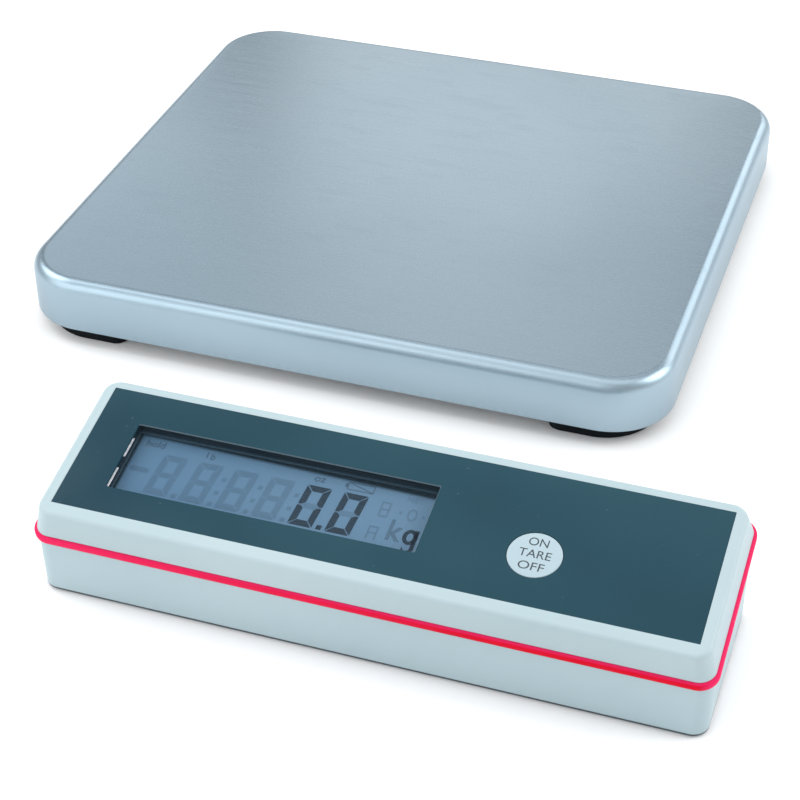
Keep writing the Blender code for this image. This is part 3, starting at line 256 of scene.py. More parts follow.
class Wire:
    def __init__(self, finish, socket):
        self.finish = finish
        self.socket = socket

    def sum(self, how, first, second):
        return self.finish.node("Math", {"operation": how}, {0: first, 1: second})

    def __add__(self, other):
        return self.sum("ADD", self, other)

    __radd__ = __add__

    def __mul__(self, other):
        return self.sum("MULTIPLY", self, other)

    __rmul__ = __mul__

    def __sub__(self, other):
        return self.sum("SUBTRACT", self, other)

    def __rsub__(self, other):
        return self.sum("SUBTRACT", other, self)

    def __truediv__(self, other):
        return self.sum("DIVIDE", self, other)

    def __pow__(self, other):
        return self.sum("POWER", self, other)

    def over(self, other):
        return self.sum("GREATER_THAN", self, other)


class Finish:
    def __init__(self, name, **fixed):
        self.material = bpy.data.materials.new(name)
        self.material.use_nodes = True
        self.tree = self.material.node_tree
        self.shader = self.tree.nodes["Principled BSDF"]
        self.place = self.node("TexCoord", {}, {}, "Object")
        self.set(**fixed)

    def node(self, kind, settings, values, out=0):
        made = self.tree.nodes.new("ShaderNode" + kind)
        for key, value in settings.items():
            if key == "stops":
                while len(made.color_ramp.elements) < len(value):
                    made.color_ramp.elements.new(1)
                for element, (at, tone) in zip(made.color_ramp.elements, value):
                    element.position = at
                    element.color = (*tone, 1)
            else:
                setattr(made, key, value)
        for key, value in values.items():
            self.feed(made.inputs[key], value)
        return Wire(self, made.outputs[out])

    def feed(self, socket, value):
        if isinstance(value, Wire):
            self.tree.links.new(value.socket, socket)
        else:
            socket.default_value = value

    def set(self, **values):
        for key, value in values.items():
            words = "".join(" " + c if c.isupper() else c for c in key).title().replace("Ior", "IOR")
            self.feed(self.shader.inputs[words], value)

    def grain(self, scale, stretch=(1, 1, 1), detail=2, rough=0.5, turn=(0, 0, 0)):
        spot = self.node("Mapping", {}, {"Vector": self.place, "Scale": stretch, "Rotation": turn})
        return self.node("TexNoise", {}, {"Vector": spot, "Scale": scale, "Detail": detail, "Roughness": rough}, "Fac")

    def blend(self, share, first, second):
        return self.node("Mix", {"data_type": "RGBA"}, {0: share, 6: (*first, 1) if isinstance(first, tuple) else first, 7: (*second, 1) if isinstance(second, tuple) else second}, 2)

    def spread(self, value, low, high, first=0.0, last=1.0):
        return self.node("MapRange", {}, {0: value, 1: low, 2: high, 3: first, 4: last})

    def panelSpot(self):
        # the place as the tilted panel has it
        return self.node("Mapping", {"vector_type": "TEXTURE"}, {"Vector": self.place, "Location": panelPlace.translation, "Rotation": (tilt, 0, 0)})

    def relief(self, height, depth, strength=1.0):
        self.set(normal=self.node("Bump", {}, {"Height": height, "Distance": depth, "Strength": strength}))


# finishes


def brushedSteel(name, light, dark, walls, rough):
    # walls are two lighter, bluer tones painted on the drawn edge and skirt: a painted reflection of the bright floor
    f = Finish(name, metallic=1.0)
    side = f.node("Attribute", {"attribute_name": "sideways"}, {}, "Fac")
    along = f.grain(1, (9, 1500, 1500), 3, 0.6)
    across = f.grain(1, (1500, 9, 1500), 3, 0.6)
    hair = along * (1 - side) + across * side
    fine = f.grain(1, (60, 4200, 4200), 1) * (1 - side) + f.grain(1, (4200, 60, 4200), 1) * side
    cloud = f.grain(5, (1, 1, 1), 2, 0.55)
    rubbed = f.spread(f.grain(34, (1, 3, 3), 4, 0.6), 0.52, 0.75)
    shade = f.spread(hair * 0.3 + fine * 0.15 + cloud * 0.8, 0.35, 0.9)
    drawn = f.spread(f.node("SeparateXYZ", {}, {"Vector": f.place}, "Z"), 0.0359, 0.0335)
    # the drawn walls take the painted reflection tones, and a rougher finish below
    f.set(baseColor=f.blend(drawn, f.blend(shade, dark, light), f.blend(shade, *walls)))
    f.set(roughness=f.spread(hair * 0.6 + fine * 0.4, 0.3, 0.7, rough - 0.06, rough + 0.06) + rubbed * 0.05 + drawn * 0.13)
    f.relief(hair * 0.6 + fine * 0.4, 0.00004, 0.4)
    return f.material


def platedSteel(name, light=(0.60, 0.61, 0.60), dark=(0.40, 0.42, 0.44)):
    f = Finish(name, metallic=1.0)
    cells = f.node("TexVoronoi", {}, {"Vector": f.place, "Scale": 210.0}, "Color")
    spangle = f.node("SeparateColor", {}, {"Color": cells})
    cloud = f.grain(22, detail=4)
    tone = f.spread(spangle * 0.35 + cloud * 0.8, 0.2, 0.95)
    f.set(baseColor=f.blend(tone, dark, light), roughness=f.spread(cloud + spangle * 0.3, 0.3, 1.0, 0.36, 0.56))
    f.relief(spangle * 0.5 + f.grain(900), 0.00001, 0.4)
    return f.material


def milledMetal(name, light, dark, stretch):
    f = Finish(name, metallic=1.0)
    marks = f.grain(1, stretch, 3, 0.6)
    cloud = f.grain(40, detail=3)
    f.set(baseColor=f.blend(f.spread(marks * 0.6 + cloud * 0.5, 0.3, 0.8), dark, light))
    f.set(roughness=f.spread(marks, 0.3, 0.7, 0.28, 0.44))
    f.relief(marks, 0.00002, 0.5)
    return f.material


def mouldedPlastic(name, light, dark, rough, grainScale=1900, relief=0.000018, paintedShadowLine=None):
    f = Finish(name, specularIorLevel=0.38)
    grain = f.grain(grainScale, detail=3, rough=0.6)
    cloud = f.grain(14, detail=3)
    scuff = f.spread(f.grain(1, (40, 260, 120), 4, 0.65), 0.62, 0.8)
    tone = f.blend(f.spread(cloud * 0.8 + grain * 0.25, 0.3, 0.75), dark, light)
    if paintedShadowLine:
        # a dark band painted along the lowest two millimetres stands in for the shadow gap under the base
        height = f.node("SeparateXYZ", {}, {"Vector": f.place}, "Z")
        line = f.spread(height, 0.0021, 0.0017) * f.spread(height, 0.00052, 0.00065)
        tone = f.blend(line, tone, paintedShadowLine)
    f.set(baseColor=tone)
    f.set(roughness=f.spread(grain, 0.3, 0.7, rough - 0.05, rough + 0.05) + scuff * 0.06)
    f.relief(grain, relief, 0.5)
    return f.material


def rubber(name, light, dark, rough=0.72, relief=0.00003):
    f = Finish(name, specularIorLevel=0.13)
    grain = f.grain(1300, detail=3, rough=0.6)
    dust = f.spread(f.grain(70, detail=4, rough=0.65), 0.5, 0.8)
    f.set(baseColor=f.blend(dust * 0.8, dark, light))
    f.set(roughness=f.spread(grain, 0.3, 0.7, rough - 0.08, rough + 0.06))
    f.relief(grain, relief, 0.6)
    return f.material


def softSeal(name):
    f = Finish(name, specularIorLevel=0.03)
    cloud = f.grain(60, detail=3)
    grain = f.grain(1600, detail=2)
    red = f.blend(f.spread(cloud, 0.3, 0.7), (0.62, 0.003, 0.017), (0.70, 0.006, 0.030))
    # the bead's upper half, its left part and its right end are painted pink: a painted sheen
    spot = f.panelSpot()
    u = f.node("SeparateXYZ", {}, {"Vector": spot}, "X")
    upper = f.spread(f.node("SeparateXYZ", {}, {"Vector": spot}, "Z"), -0.0132, -0.0124)
    paintedSheen = f.node("Math", {"operation": "MAXIMUM"}, {0: upper, 1: f.spread(u, 0.06, -0.14, 0.0, 0.9) + f.spread(u, 0.1385, 0.1425)})
    f.set(baseColor=f.blend(paintedSheen, red, (0.79, 0.024, 0.118)))
    f.set(roughness=f.spread(grain, 0.3, 0.7, 0.34, 0.46))
    f.relief(grain, 0.000012, 0.4)
    return f.material


def printedFoil(name, light=(0.022, 0.073, 0.097), dark=(0.008, 0.038, 0.059)):
    f = Finish(name, specularIorLevel=0.13)
    grain = f.grain(2600, detail=3, rough=0.65)
    cloud = f.grain(9, detail=2)
    specks = f.spread(f.grain(420, detail=1), 0.78, 0.82)
    tone = f.blend(f.spread(cloud * 0.8 + grain * 0.2, 0.3, 0.75), dark, light)
    f.set(baseColor=f.blend(specks * 0.18, tone, (0.20, 0.26, 0.28)))
    f.set(roughness=f.spread(grain, 0.3, 0.7, 0.34, 0.46))
    f.relief(grain, 0.000014, 0.5)
    return f.material


# a light tone for the window chamfers that catch the light: a painted highlight
def paintedEdgeHighlight(name, light=(0.34, 0.41, 0.44), dark=(0.22, 0.28, 0.31)):
    f = Finish(name, specularIorLevel=0.5)
    grain = f.grain(700, detail=2)
    f.set(baseColor=f.blend(grain, dark, light), roughness=f.spread(grain, 0.3, 0.7, 0.25, 0.4))
    f.relief(grain, 0.00001, 0.3)
    return f.material


def clearPane(name):
    f = Finish(name, alpha=0.05, specularIorLevel=0.5)
    smear = f.grain(30, (1, 2, 1), 3)
    f.set(baseColor=f.blend(smear, (0.02, 0.03, 0.04), (0.05, 0.06, 0.07)), roughness=f.spread(smear, 0.3, 0.7, 0.02, 0.08))
    f.relief(f.grain(60), 0.000005, 0.2)
    return f.material


# a near-white finish for the glint bars: painted glints
def paintedGlintFinish(name):
    f = Finish(name, specularIorLevel=0.8)
    grain = f.grain(1, (900, 2600, 900), 2)
    lit = f.spread(grain, 0.42, 0.5)
    f.set(baseColor=f.blend(lit, (0.55, 0.60, 0.64), (0.98, 0.99, 1.0)), roughness=f.spread(grain, 0.3, 0.7, 0.1, 0.25))
    f.relief(grain, 0.00002, 0.5)
    return f.material


def displayWall(name):
    # black at the pane, with some of the display's light at its foot
    f = Finish(name, specularIorLevel=0.3)
    grain = f.grain(1900, detail=3, rough=0.6)
    cloud = f.grain(30, detail=3)
    foot = f.spread(f.node("SeparateXYZ", {}, {"Vector": f.panelSpot()}, "Z"), -0.0036, -0.0062)
    black = f.blend(f.spread(cloud * 0.7 + grain * 0.3, 0.3, 0.7), (0.006, 0.017, 0.027), (0.013, 0.029, 0.043))
    f.set(baseColor=f.blend(foot, black, (0.085, 0.170, 0.235)))
    f.set(roughness=f.spread(grain, 0.3, 0.7, 0.45, 0.55))
    f.relief(grain, 0.000018, 0.5)
    return f.material


def displayFace(name, share=1.0):
    # the glass carries a painted shadow along its back and left rims, where the window wall's shade falls, and painted
    # light that brightens it towards the right; its marks are a share of its tone
    f = Finish(name, specularIorLevel=0.1, coatRoughness=0.12)
    spot = f.panelSpot()
    u = f.node("SeparateXYZ", {}, {"Vector": spot}, "X") * 1000
    v = f.node("SeparateXYZ", {}, {"Vector": spot}, "Y") * 1000
    # the rim mask is a painted shadow, slanted as the wall's shadow falls
    rim = f.node("Math", {"operation": "MAXIMUM"}, {0: f.spread(v + u * 0.0174, 13.66, 15.3), 1: f.spread(u, -115.6, -116.9)})
    low, high = (tuple(share * c for c in tone) for tone in ((0.090, 0.188, 0.302), (0.128, 0.232, 0.345)))
    cloud = f.grain(16, detail=2)
    pixels = f.grain(3800, detail=1)
    # painted light: the face grows lighter towards the right
    paintedLightRamp = f.spread(u, -110, 10)
    face = f.blend(f.spread(cloud * 0.5 + pixels * 0.2 + paintedLightRamp * 0.5, 0.2, 0.9), low, high)
    f.set(baseColor=f.blend(rim, face, (0.012, 0.028, 0.042)))
    f.set(roughness=f.spread(pixels, 0.3, 0.7, 0.30, 0.40), coatWeight=f.spread(cloud, 0.3, 0.7, 0.01, 0.04))
    f.relief(pixels, 0.000004, 0.4)
    return f.material


def printedInk(name, light, dark):
    f = Finish(name, specularIorLevel=0.3)
    cloud = f.grain(120, detail=2)
    f.set(baseColor=f.blend(f.spread(cloud, 0.3, 0.7), dark, light), roughness=f.spread(cloud, 0.3, 0.7, 0.35, 0.5))
    f.relief(f.grain(3000), 0.000003, 0.3)
    return f.material


def circuitBoard(name):
    f = Finish(name, specularIorLevel=0.5)
    tracks = f.node("TexBrick", {"offset": 0.37, "squash": 0.6, "squash_frequency": 3}, {"Vector": f.place, "Scale": 70.0, "Mortar Size": 0.035, "Mortar Smooth": 0.2}, "Fac")
    pads = f.node("TexVoronoi", {"feature": "F1"}, {"Vector": f.place, "Scale": 180.0}, "Distance")
    dots = 1 - f.spread(pads, 0.12, 0.16)
    weave = f.grain(1400, detail=2)
    green = f.blend(f.spread(weave, 0.3, 0.7), (0.010, 0.085, 0.035), (0.020, 0.125, 0.055))
    lined = f.blend(tracks, green, (0.035, 0.19, 0.085))
    f.set(baseColor=f.blend(dots, lined, (0.55, 0.50, 0.36)), roughness=f.spread(weave, 0.3, 0.7, 0.32, 0.46))
    f.set(metallic=dots * 0.8)
    f.relief(tracks * 0.5 + dots * 0.6, 0.00004, 0.6)
    return f.material


def batteryWrap(name):
    f = Finish(name, specularIorLevel=0.5, coatRoughness=0.15)
    across = f.node("SeparateXYZ", {}, {"Vector": f.place}, "X")
    band = f.spread(across, 0.0110, 0.0114)
    foil = f.grain(260, detail=3)
    body = f.blend(f.spread(foil, 0.3, 0.7), (0.020, 0.022, 0.026), (0.040, 0.043, 0.048))
    f.set(baseColor=f.blend(band, body, (0.52, 0.30, 0.10)), metallic=band * 0.7)
    f.set(roughness=f.spread(foil, 0.3, 0.7, 0.28, 0.4), coatWeight=f.spread(foil, 0.3, 0.7, 0.2, 0.4))
    f.relief(foil, 0.00001, 0.4)
    return f.material


# the third pair of tones is the painted reflection on the pan's walls
stainless = brushedSteel("brushedStainless", (0.336, 0.426, 0.492), (0.267, 0.353, 0.417), ((0.316, 0.415, 0.482), (0.380, 0.482, 0.546)), 0.27)
zinc = platedSteel("zincPlate")
screwZinc = platedSteel("screwZinc", (0.62, 0.62, 0.60), (0.36, 0.37, 0.38))
aluminium = milledMetal("milledAluminium", (0.74, 0.75, 0.77), (0.56, 0.57, 0.59), (2400, 60, 2400))
blackRubber = rubber("blackRubber", (0.010, 0.013, 0.016), (0.003, 0.005, 0.007))
contactRubber = rubber("contactRubber", (0.12, 0.11, 0.10), (0.05, 0.05, 0.05))
leadSheath = rubber("leadSheath", (0.16, 0.16, 0.17), (0.07, 0.07, 0.075), 0.55, 0.00001)
potting = rubber("gaugePotting", (0.78, 0.77, 0.72), (0.58, 0.57, 0.53), 0.5)
housing = mouldedPlastic("paleHousing", (0.428, 0.532, 0.560), (0.386, 0.492, 0.524), 0.40)
# the base's finish carries a painted shadow line along its bottom edge
baseHousing = mouldedPlastic("paleBase", (0.420, 0.530, 0.568), (0.378, 0.490, 0.530), 0.40, paintedShadowLine=(0.022, 0.028, 0.036))
doorPlastic = mouldedPlastic("paleDoor", (0.410, 0.518, 0.554), (0.368, 0.478, 0.516), 0.44)
keyPlastic = mouldedPlastic("paleKey", (0.424, 0.528, 0.578), (0.372, 0.480, 0.530), 0.36, 2600, 0.000008)
blackPlastic = mouldedPlastic("blackMoulding", (0.030, 0.031, 0.033), (0.012, 0.012, 0.014), 0.42)
sealRed = softSeal("redSeal")
foilDark = printedFoil("darkFoil")
# painted highlight tones for the right and back window chamfers
foilEdgeHighlight = paintedEdgeHighlight("foilEdgeHighlight")
foilBackHighlight = paintedEdgeHighlight("foilBackHighlight", (0.110, 0.165, 0.200), (0.070, 0.115, 0.145))
pane = clearPane("clearPane")
paneGlint = paintedGlintFinish("paneGlint")
lcdFace = displayFace("displayFace")
lcdLit = displayFace("displayLit", 0.20)
lcdDim = displayFace("displayDim", 0.66)
lcdGhost = displayFace("displayGhost", 0.78)
lcdFaint = displayFace("displayFaint", 0.79)
lcdPrint = displayFace("displayPrint", 0.54)
keyInk = printedInk("keyInk", (0.056, 0.070, 0.082), (0.037, 0.048, 0.058))
frameBlack = displayWall("frameBlack")
maskInk = printedInk("maskInk", (0.012, 0.022, 0.030), (0.006, 0.012, 0.018))
board = circuitBoard("greenBoard")
wrap = batteryWrap("batteryWrap")
print("finishes made")


# platform: pan and stiffener

panSizes = dict(sheet=1.2, corner=32, edge=6.5, lift=8.5, hem=0.45)


def openTray(width, depth, height, corner, sheet, edge, hem, steps, edgeSteps, floorUp):
    # a drawn sheet: outer form, less the same form drawn in by the sheet
    outer = block(width, depth, height, corner, top=edge, steps=steps, edgeSteps=edgeSteps)
    floor = [f for f in outer.faces if all(abs(v.co.z) < 1e-4 for v in f.verts)]
    bmesh.ops.delete(outer, geom=floor, context="FACES_ONLY")
    bmesh.ops.recalc_face_normals(outer, faces=outer.faces)
    bmesh.ops.solidify(outer, geom=outer.faces[:], thickness=sheet)
    roundOff(outer, [e for e in levelEdges(outer, 0) if len(e.link_faces) == 2 and e.calc_face_angle(0) > 1], hem, 2)
    if floorUp:
        bmesh.ops.transform(outer, matrix=Matrix.Translation((0, 0, height)) @ Matrix.Rotation(math.pi, 4, "X"), verts=outer.verts)
    return outer


pan = openTray(
    platform["width"], platform["depth"], platform["height"] - panSizes["lift"],
    panSizes["corner"], panSizes["sheet"], panSizes["edge"], panSizes["hem"], 24, 12, False,
)
panObject = addPiece(
    "panSheet", moved(pan, z=panSizes["lift"]), platformPlace, [stainless], "pan", ["weighing_pan"], 40
)


def markSideways(obj):
    # brushing runs along the walls, so side walls carry their own direction
    mesh = obj.data
    share = mesh.attributes.new("sideways", "FLOAT", "POINT")
    for vert in mesh.vertices:
        normal = vert.normal
        share.data[vert.index].value = min(1.0, max(0.0, (abs(normal.x) - abs(normal.y)) * 1.4 - 0.1)) if abs(normal.z) < 0.98 else 0.0


markSideways(panObject)

stiffenerSizes = dict(gap=18.8, sheet=2, rim=10, corner=20, top=34.5, hole=14.2, buttonX=123, buttonY=98)
plate = openTray(
    2 * (163.8 - stiffenerSizes["gap"]), 2 * (148.8 - stiffenerSizes["gap"]), stiffenerSizes["rim"],
    stiffenerSizes["corner"], stiffenerSizes["sheet"], 1.2, 0.3, 10, 4, False,
)
plate = carved(
    moved(plate, z=stiffenerSizes["top"] - stiffenerSizes["rim"]),
    [
        moved(rod(stiffenerSizes["hole"], 14, 40), x * stiffenerSizes["buttonX"], y * stiffenerSizes["buttonY"], 22.5)
        for _, (x, y) in quarters
    ],
)
addPiece("stiffenerPlate", plate, platformPlace, [zinc], "pan", ["pan_stiffener"])
print("pan built")


# platform: tray, feet and inlet

traySizes = dict(width=321.6, depth=291.6, rim=14, corner=27.8, sheet=2, lift=10, fold=2.4, seat=26, seatRise=3)
cellSizes = dict(fixed=62, free=132, row=98, width=14, height=12, foot=15.3, window=22, core=8, screws=(7, 19))
footSizes = dict(x=133.5, y=120.3, side=48, height=7.5, edge=1, outer=27, inner=6, neck=17, stem=5, head=7, headFoot=12.3)
inletSizes = dict(height=18, bore=2.1, neck=3.2, flange=4.5, lip=1.2, y=144.8)


def buildTray():
    tray = openTray(
        traySizes["width"], traySizes["depth"], traySizes["rim"], traySizes["corner"],
        traySizes["sheet"], traySizes["fold"], 0.4, 14, 5, True,
    )
    moved(tray, z=traySizes["lift"])
    added = []
    holes = []
    for _, (x, y) in quarters:
        seatX = x * (cellSizes["fixed"] + traySizes["seat"] / 2)
        added.append(moved(block(traySizes["seat"], cellSizes["width"], traySizes["seatRise"] + 1, 1, top=0.4, steps=3, edgeSteps=2), seatX, y * cellSizes["row"], 11))
        for setback in cellSizes["screws"]:
            holes.append(moved(rod(5.6, 8, 24), x * (cellSizes["fixed"] + setback), y * cellSizes["row"], 9))
        holes.append(moved(rod(10.6, 4, 32), x * footSizes["x"], y * footSizes["y"], 9))
    for x in (-18, 18):
        added.append(moved(rod(8, 4, 28, top=0.4), x, 0, 11))
    holes.append(moved(rod(7, 8, 32), 0, inletSizes["y"] + 4, inletSizes["height"], (quarter, "X")))
    return carved(carved(tray, added, "UNION"), holes)


addPiece("traySheet", buildTray(), platformPlace, [zinc], "platform_base", ["base_tray"])


def buildFoot(x, y):
    # a corner pad, with a push-in stem on top and grip rings below
    s = footSizes
    pad = block(s["side"], s["side"], s["height"])
    uprights = [e for e in pad.edges if e.verts[0].co.xy == e.verts[1].co.xy]
    *inner, outer = sorted(uprights, key=lambda e: e.verts[0].co.x * x + e.verts[0].co.y * y)
    roundOff(pad, inner, s["inner"], 10)
    roundOff(pad, [outer], s["outer"], 28)
    for height in (0, s["height"]):
        roundOff(pad, levelEdges(pad, height), s["edge"], 5)
    post = turned(
        [
            (0, 15.3), (s["stem"] - 0.6, 15.3, 0.4), (s["head"], s["headFoot"] + 0.5, 0.3), (s["head"] - 0.2, s["headFoot"]),
            (s["stem"], s["headFoot"]), (s["stem"], 9.7), (s["neck"], 9.7, 0.3), (s["neck"], 4), (0, 4),
        ],
        64,
    )
    rings = [turned([(r, -1), (r + 2, -1), (r + 2, 0.5, 0.15), (r, 0.5, 0.15)], 64, True) for r in (6, 11, 16)]
    return moved(carved(carved(pad, [post], "UNION"), rings), x * s["x"], y * s["y"])


for number, (x, y) in quarters:
    addPiece(f"rubberFoot{number}", buildFoot(x, y), platformPlace, [blackRubber], "platform_base", [f"foot_{number}"], 28)

g = inletSizes
reach = 1.3
inletProfile = [
    (g["bore"], reach + g["lip"], 0.3), (g["flange"], reach + g["lip"], 0.5), (g["flange"], reach, 0.2), (g["neck"], reach),
    (g["neck"], -reach), (g["flange"], -reach, 0.2), (g["flange"], -reach - g["lip"], 0.5), (g["bore"], -reach - g["lip"], 0.3),
]
inlet = moved(turned(inletProfile, 48, True), 0, g["y"], g["height"], (quarter, "X"))
addPiece("inletGrommet", inlet, platformPlace, [blackRubber], "platform_base", ["cable_grommet"])
print("tray and feet built")


# platform: load cells, screws, buttons, junction board and leads

screwSizes = dict(cell=(5, 9, 3, 13.6, 9.7), cover=(3, 5.6, 2.4), slot=0.9)


def crossScrew(shank, head, headHeight, grip):
    # head below, shank upwards, with a cross recess in the head
    body = turned(
        [
            (0, grip), (shank / 2 - 0.4, grip), (shank / 2, grip - 0.6), (shank / 2, 0), (head / 2, 0, 0.15),
            (head / 2, -headHeight * 0.45, headHeight * 0.3), (head / 2 - headHeight * 0.5, -headHeight, headHeight * 0.25), (0, -headHeight),
        ],
        36,
    )
    arm = head * 0.52
    cuts = [
        moved(block(arm, head * 0.13, headHeight * 0.6, lean=head * 0.05, steps=1), 0, 0, -headHeight - 0.05, None),
        moved(block(head * 0.13, arm, headHeight * 0.6, lean=head * 0.05, steps=1), 0, 0, -headHeight - 0.05, None),
    ]
    return carved(body, cuts)


def buildCell(x, y):
    c = cellSizes
    length = c["free"] - c["fixed"]
    middle = x * (c["fixed"] + length / 2)
    row = y * c["row"]
    beam = block(length, c["width"], c["height"], 0.5, top=0.4, bottom=0.4, steps=2, edgeSteps=2)
    moved(beam, middle, row, c["foot"])
    window = block(c["window"], c["core"], c["width"] + 2, c["core"] / 2 * 0.98, steps=10)
    tools = [moved(window, middle, row + c["width"] / 2 + 1, c["foot"] + c["height"] / 2, (quarter, "X"))]
    tools.append(moved(rod(6.6, 10, 32), x * 123, row, 19))
    for setback in c["screws"]:
        tools.append(moved(rod(5.6, 9.6, 24), x * (c["fixed"] + setback), row, 14))
    cell = carved(beam, tools)
    paintFaces(cell, 0, lambda face: False)
    pad = block(15, c["width"] - 2.4, 0.5, 2, top=0.35, steps=6, edgeSteps=3)
    moved(pad, middle, row, c["foot"] + c["height"] - 0.1)
    paintFaces(pad, 1, lambda face: True)
    return joined([cell, pad])


for number, (x, y) in quarters:
    addPiece(f"loadCell{number}", buildCell(x, y), platformPlace, [aluminium, potting], "platform_base", [f"load_cell_{number}"])
    for letter, setback in zip("ab", cellSizes["screws"]):
        screw = moved(crossScrew(*screwSizes["cell"][:4]), x * (cellSizes["fixed"] + setback), y * cellSizes["row"], screwSizes["cell"][4])
        addPiece(f"cellScrew{number}{letter}", screw, platformPlace, [screwZinc], "platform_base", [f"cell_screw_{number}{letter}"], 28)

buttonProfile = [
    (0, 34.4), (4.6, 34.4, 0.4), (6.5, 33.9, 0.5), (6.5, 31.1, 0.3), (8, 31.1, 0.5), (8, 28.1, 0.5), (3, 28.1), (3, 19.8, 0.4), (0, 19.8),
]
for number, (x, y) in quarters:
    button = moved(turned(buttonProfile, 48), x * 123, y * 98)
    addPiece(f"loadButton{number}", button, platformPlace, [blackRubber], "load_buttons", [f"load_button_{number}"])

junctionSizes = dict(length=50, depth=36, foot=15.3, sheet=1.6, blockLength=40, blockDepth=10, blockHeight=7, ways=6)


def buildJunction():
    j = junctionSizes
    sheet = block(j["length"], j["depth"], j["sheet"], 1.5, top=0.15, bottom=0.15, steps=4, edgeSteps=1)
    moved(sheet, 0, 0, j["foot"])
    shell = block(j["blockLength"], j["blockDepth"], j["blockHeight"], 0.4, top=0.5, steps=2, edgeSteps=2)
    moved(shell, 0, 0, j["foot"] + j["sheet"] - 0.05)
    pitch = j["blockLength"] / j["ways"]
    places = [(way - (j["ways"] - 1) / 2) * pitch for way in range(j["ways"])]
    top = j["foot"] + j["sheet"] + j["blockHeight"]
    tools = [moved(rod(3.8, 3, 20), x, -1.2, top - 2) for x in places]
    tools += [moved(block(3.6, 3, 2.6), x, -j["blockDepth"] / 2, j["foot"] + 3) for x in places]
    tools += [moved(block(0.5, j["blockDepth"] + 2, 2), (a + b) / 2, 0, top - 0.8) for a, b in zip(places, places[1:])]
    shell = paintFaces(carved(shell, tools), 1, lambda face: True)
    heads = [carved(moved(rod(3.4, 1.2, 20, top=0.2), x, -1.2, top - 2.0), [moved(block(3.6, 0.6, 1), x, -1.2, top - 1.3)]) for x in places]
    heads = [paintFaces(head, 2, lambda face: True) for head in heads]
    return joined([sheet, shell, *heads])


addPiece("junctionBoard", buildJunction(), platformPlace, [board, blackPlastic, screwZinc], "platform_base", ["junction_board"])

leadSizes = dict(diameter=3, bend=9, reach=61.7, cellMid=21.3, floor=13.8, boardMid=16.1, boardX=50 / 3, boardY=18.3, drop=47)


def leadRoute(x, y):
    d = leadSizes
    rise = d["boardY"] + d["bend"]
    row = cellSizes["row"]
    points = [
        (d["reach"], row, d["cellMid"]),
        (d["reach"] - d["diameter"] / 2, row, d["cellMid"]),
        (d["reach"] - d["diameter"], row, d["cellMid"]),
        (d["drop"], row - d["bend"], d["floor"] + d["diameter"] / 2),
        ((d["drop"] + d["boardX"]) / 2, (row + rise) / 2, d["floor"]),
        (d["boardX"], rise + 2 * d["diameter"], d["floor"]),
        (d["boardX"], rise, (d["floor"] + d["boardMid"]) / 2),
        (d["boardX"], d["boardY"] + d["diameter"], d["boardMid"]),
        (d["boardX"], d["boardY"], d["boardMid"]),
    ]
    return [Vector((x * px, y * py, pz)) for px, py, pz in points]


for number, (x, y) in quarters:
    lead = tube(leadRoute(x, y), leadSizes["diameter"])
    addPiece(f"cellLead{number}", lead, platformPlace, [leadSheath], "platform_base", [f"cell_lead_{number}"], 40)
print("cells and junction built")


# terminal: housing shells and seam

coverSizes = dict(rim=12.1, corner=7, draft=12, edge=1.75, wall=2.2, top=3.2)
baseSizes = dict(lift=0.5, floor=3, wall=2.2, draft=1, edge=1.0, corner=7, rim=16.7, boss=9, screwX=134, screwY=28.0427, padX=112, padY=27.0427)
baySizes = dict(x=-40, length=54.6, depth=27, roof=21.5, wall=1.6, axisY=11.7, axisZ=2, notch=16, notchDepth=1.2)
sealSizes = dict(height=4.0, proud=1.46, outer=8.5, inner=4.8)
foilSizes = dict(length=272.4, depth=66.2, sheet=0.6, corner=0.3, shift=1.05, grow=0.22)
windowSizes = dict(u=-49.9, v=-0.65, length=135.2, depth=35.4, reveal=0.4, corner=0.5)
keySizes = dict(u=64.5, v=-7.25, radius=11.25, flange=13)
socketSizes = dict(x=60, height=22, barrel=14, flange=17, lip=1.2, length=13, bore=10, boreDepth=9)

screwPlaces = [(x * baseSizes["screwX"], y * baseSizes["screwY"]) for y in (-1, 1) for x in (-1, 1)]
padPlaces = [(x * baseSizes["padX"], y * baseSizes["padY"]) for y in (-1, 1) for x in (-1, 1)]


def planeHeight(y, depth):
    return panelZ + (y - panelY) * math.tan(tilt) - depth / math.cos(tilt)


def backWall():
    return planDepth / 2 - (seamMid - socketSizes["height"]) * math.tan(math.radians(baseSizes["draft"]))


def buildCover():
    c = coverSizes
    lean = c["rim"] * math.tan(math.radians(c["draft"]))
    outer = block(terminal["length"], terminal["depth"], c["rim"], c["corner"], lean, top=c["edge"], steps=18, edgeSteps=10)
    moved(outer, 0, 0, -c["rim"])
    inner = block(
        terminal["length"] - 2 * c["wall"], terminal["depth"] - 2 * c["wall"], c["rim"] - c["top"] + 0.5,
        c["corner"] - c["wall"], lean * 0.75, steps=8,
    )
    f = foilSizes
    w = windowSizes
    recess = block(f["length"] + 0.6, f["depth"] + 0.6, 2, f["corner"], steps=4)
    rebate = block(w["length"] + 4.6, w["depth"] + 4.6, 3, 0.4, steps=2)
    opening = block(w["length"] + 0.8, w["depth"] + 0.8, 8, 0.5, steps=3)
    keyHole = rod(23.1, 8, 64)
    tools = [
        moved(inner, 0, 0, -c["rim"] - 0.5),
        moved(recess, 0, f["shift"], -0.9),
        moved(rebate, w["u"], w["v"], -2.4),
        moved(opening, w["u"], w["v"], -5),
        moved(keyHole, keySizes["u"], keySizes["v"], -5),
    ]
    return carved(outer, tools)


addPiece("upperShell", buildCover(), panelPlace, [housing], "terminal", ["terminal_cover"], 35)


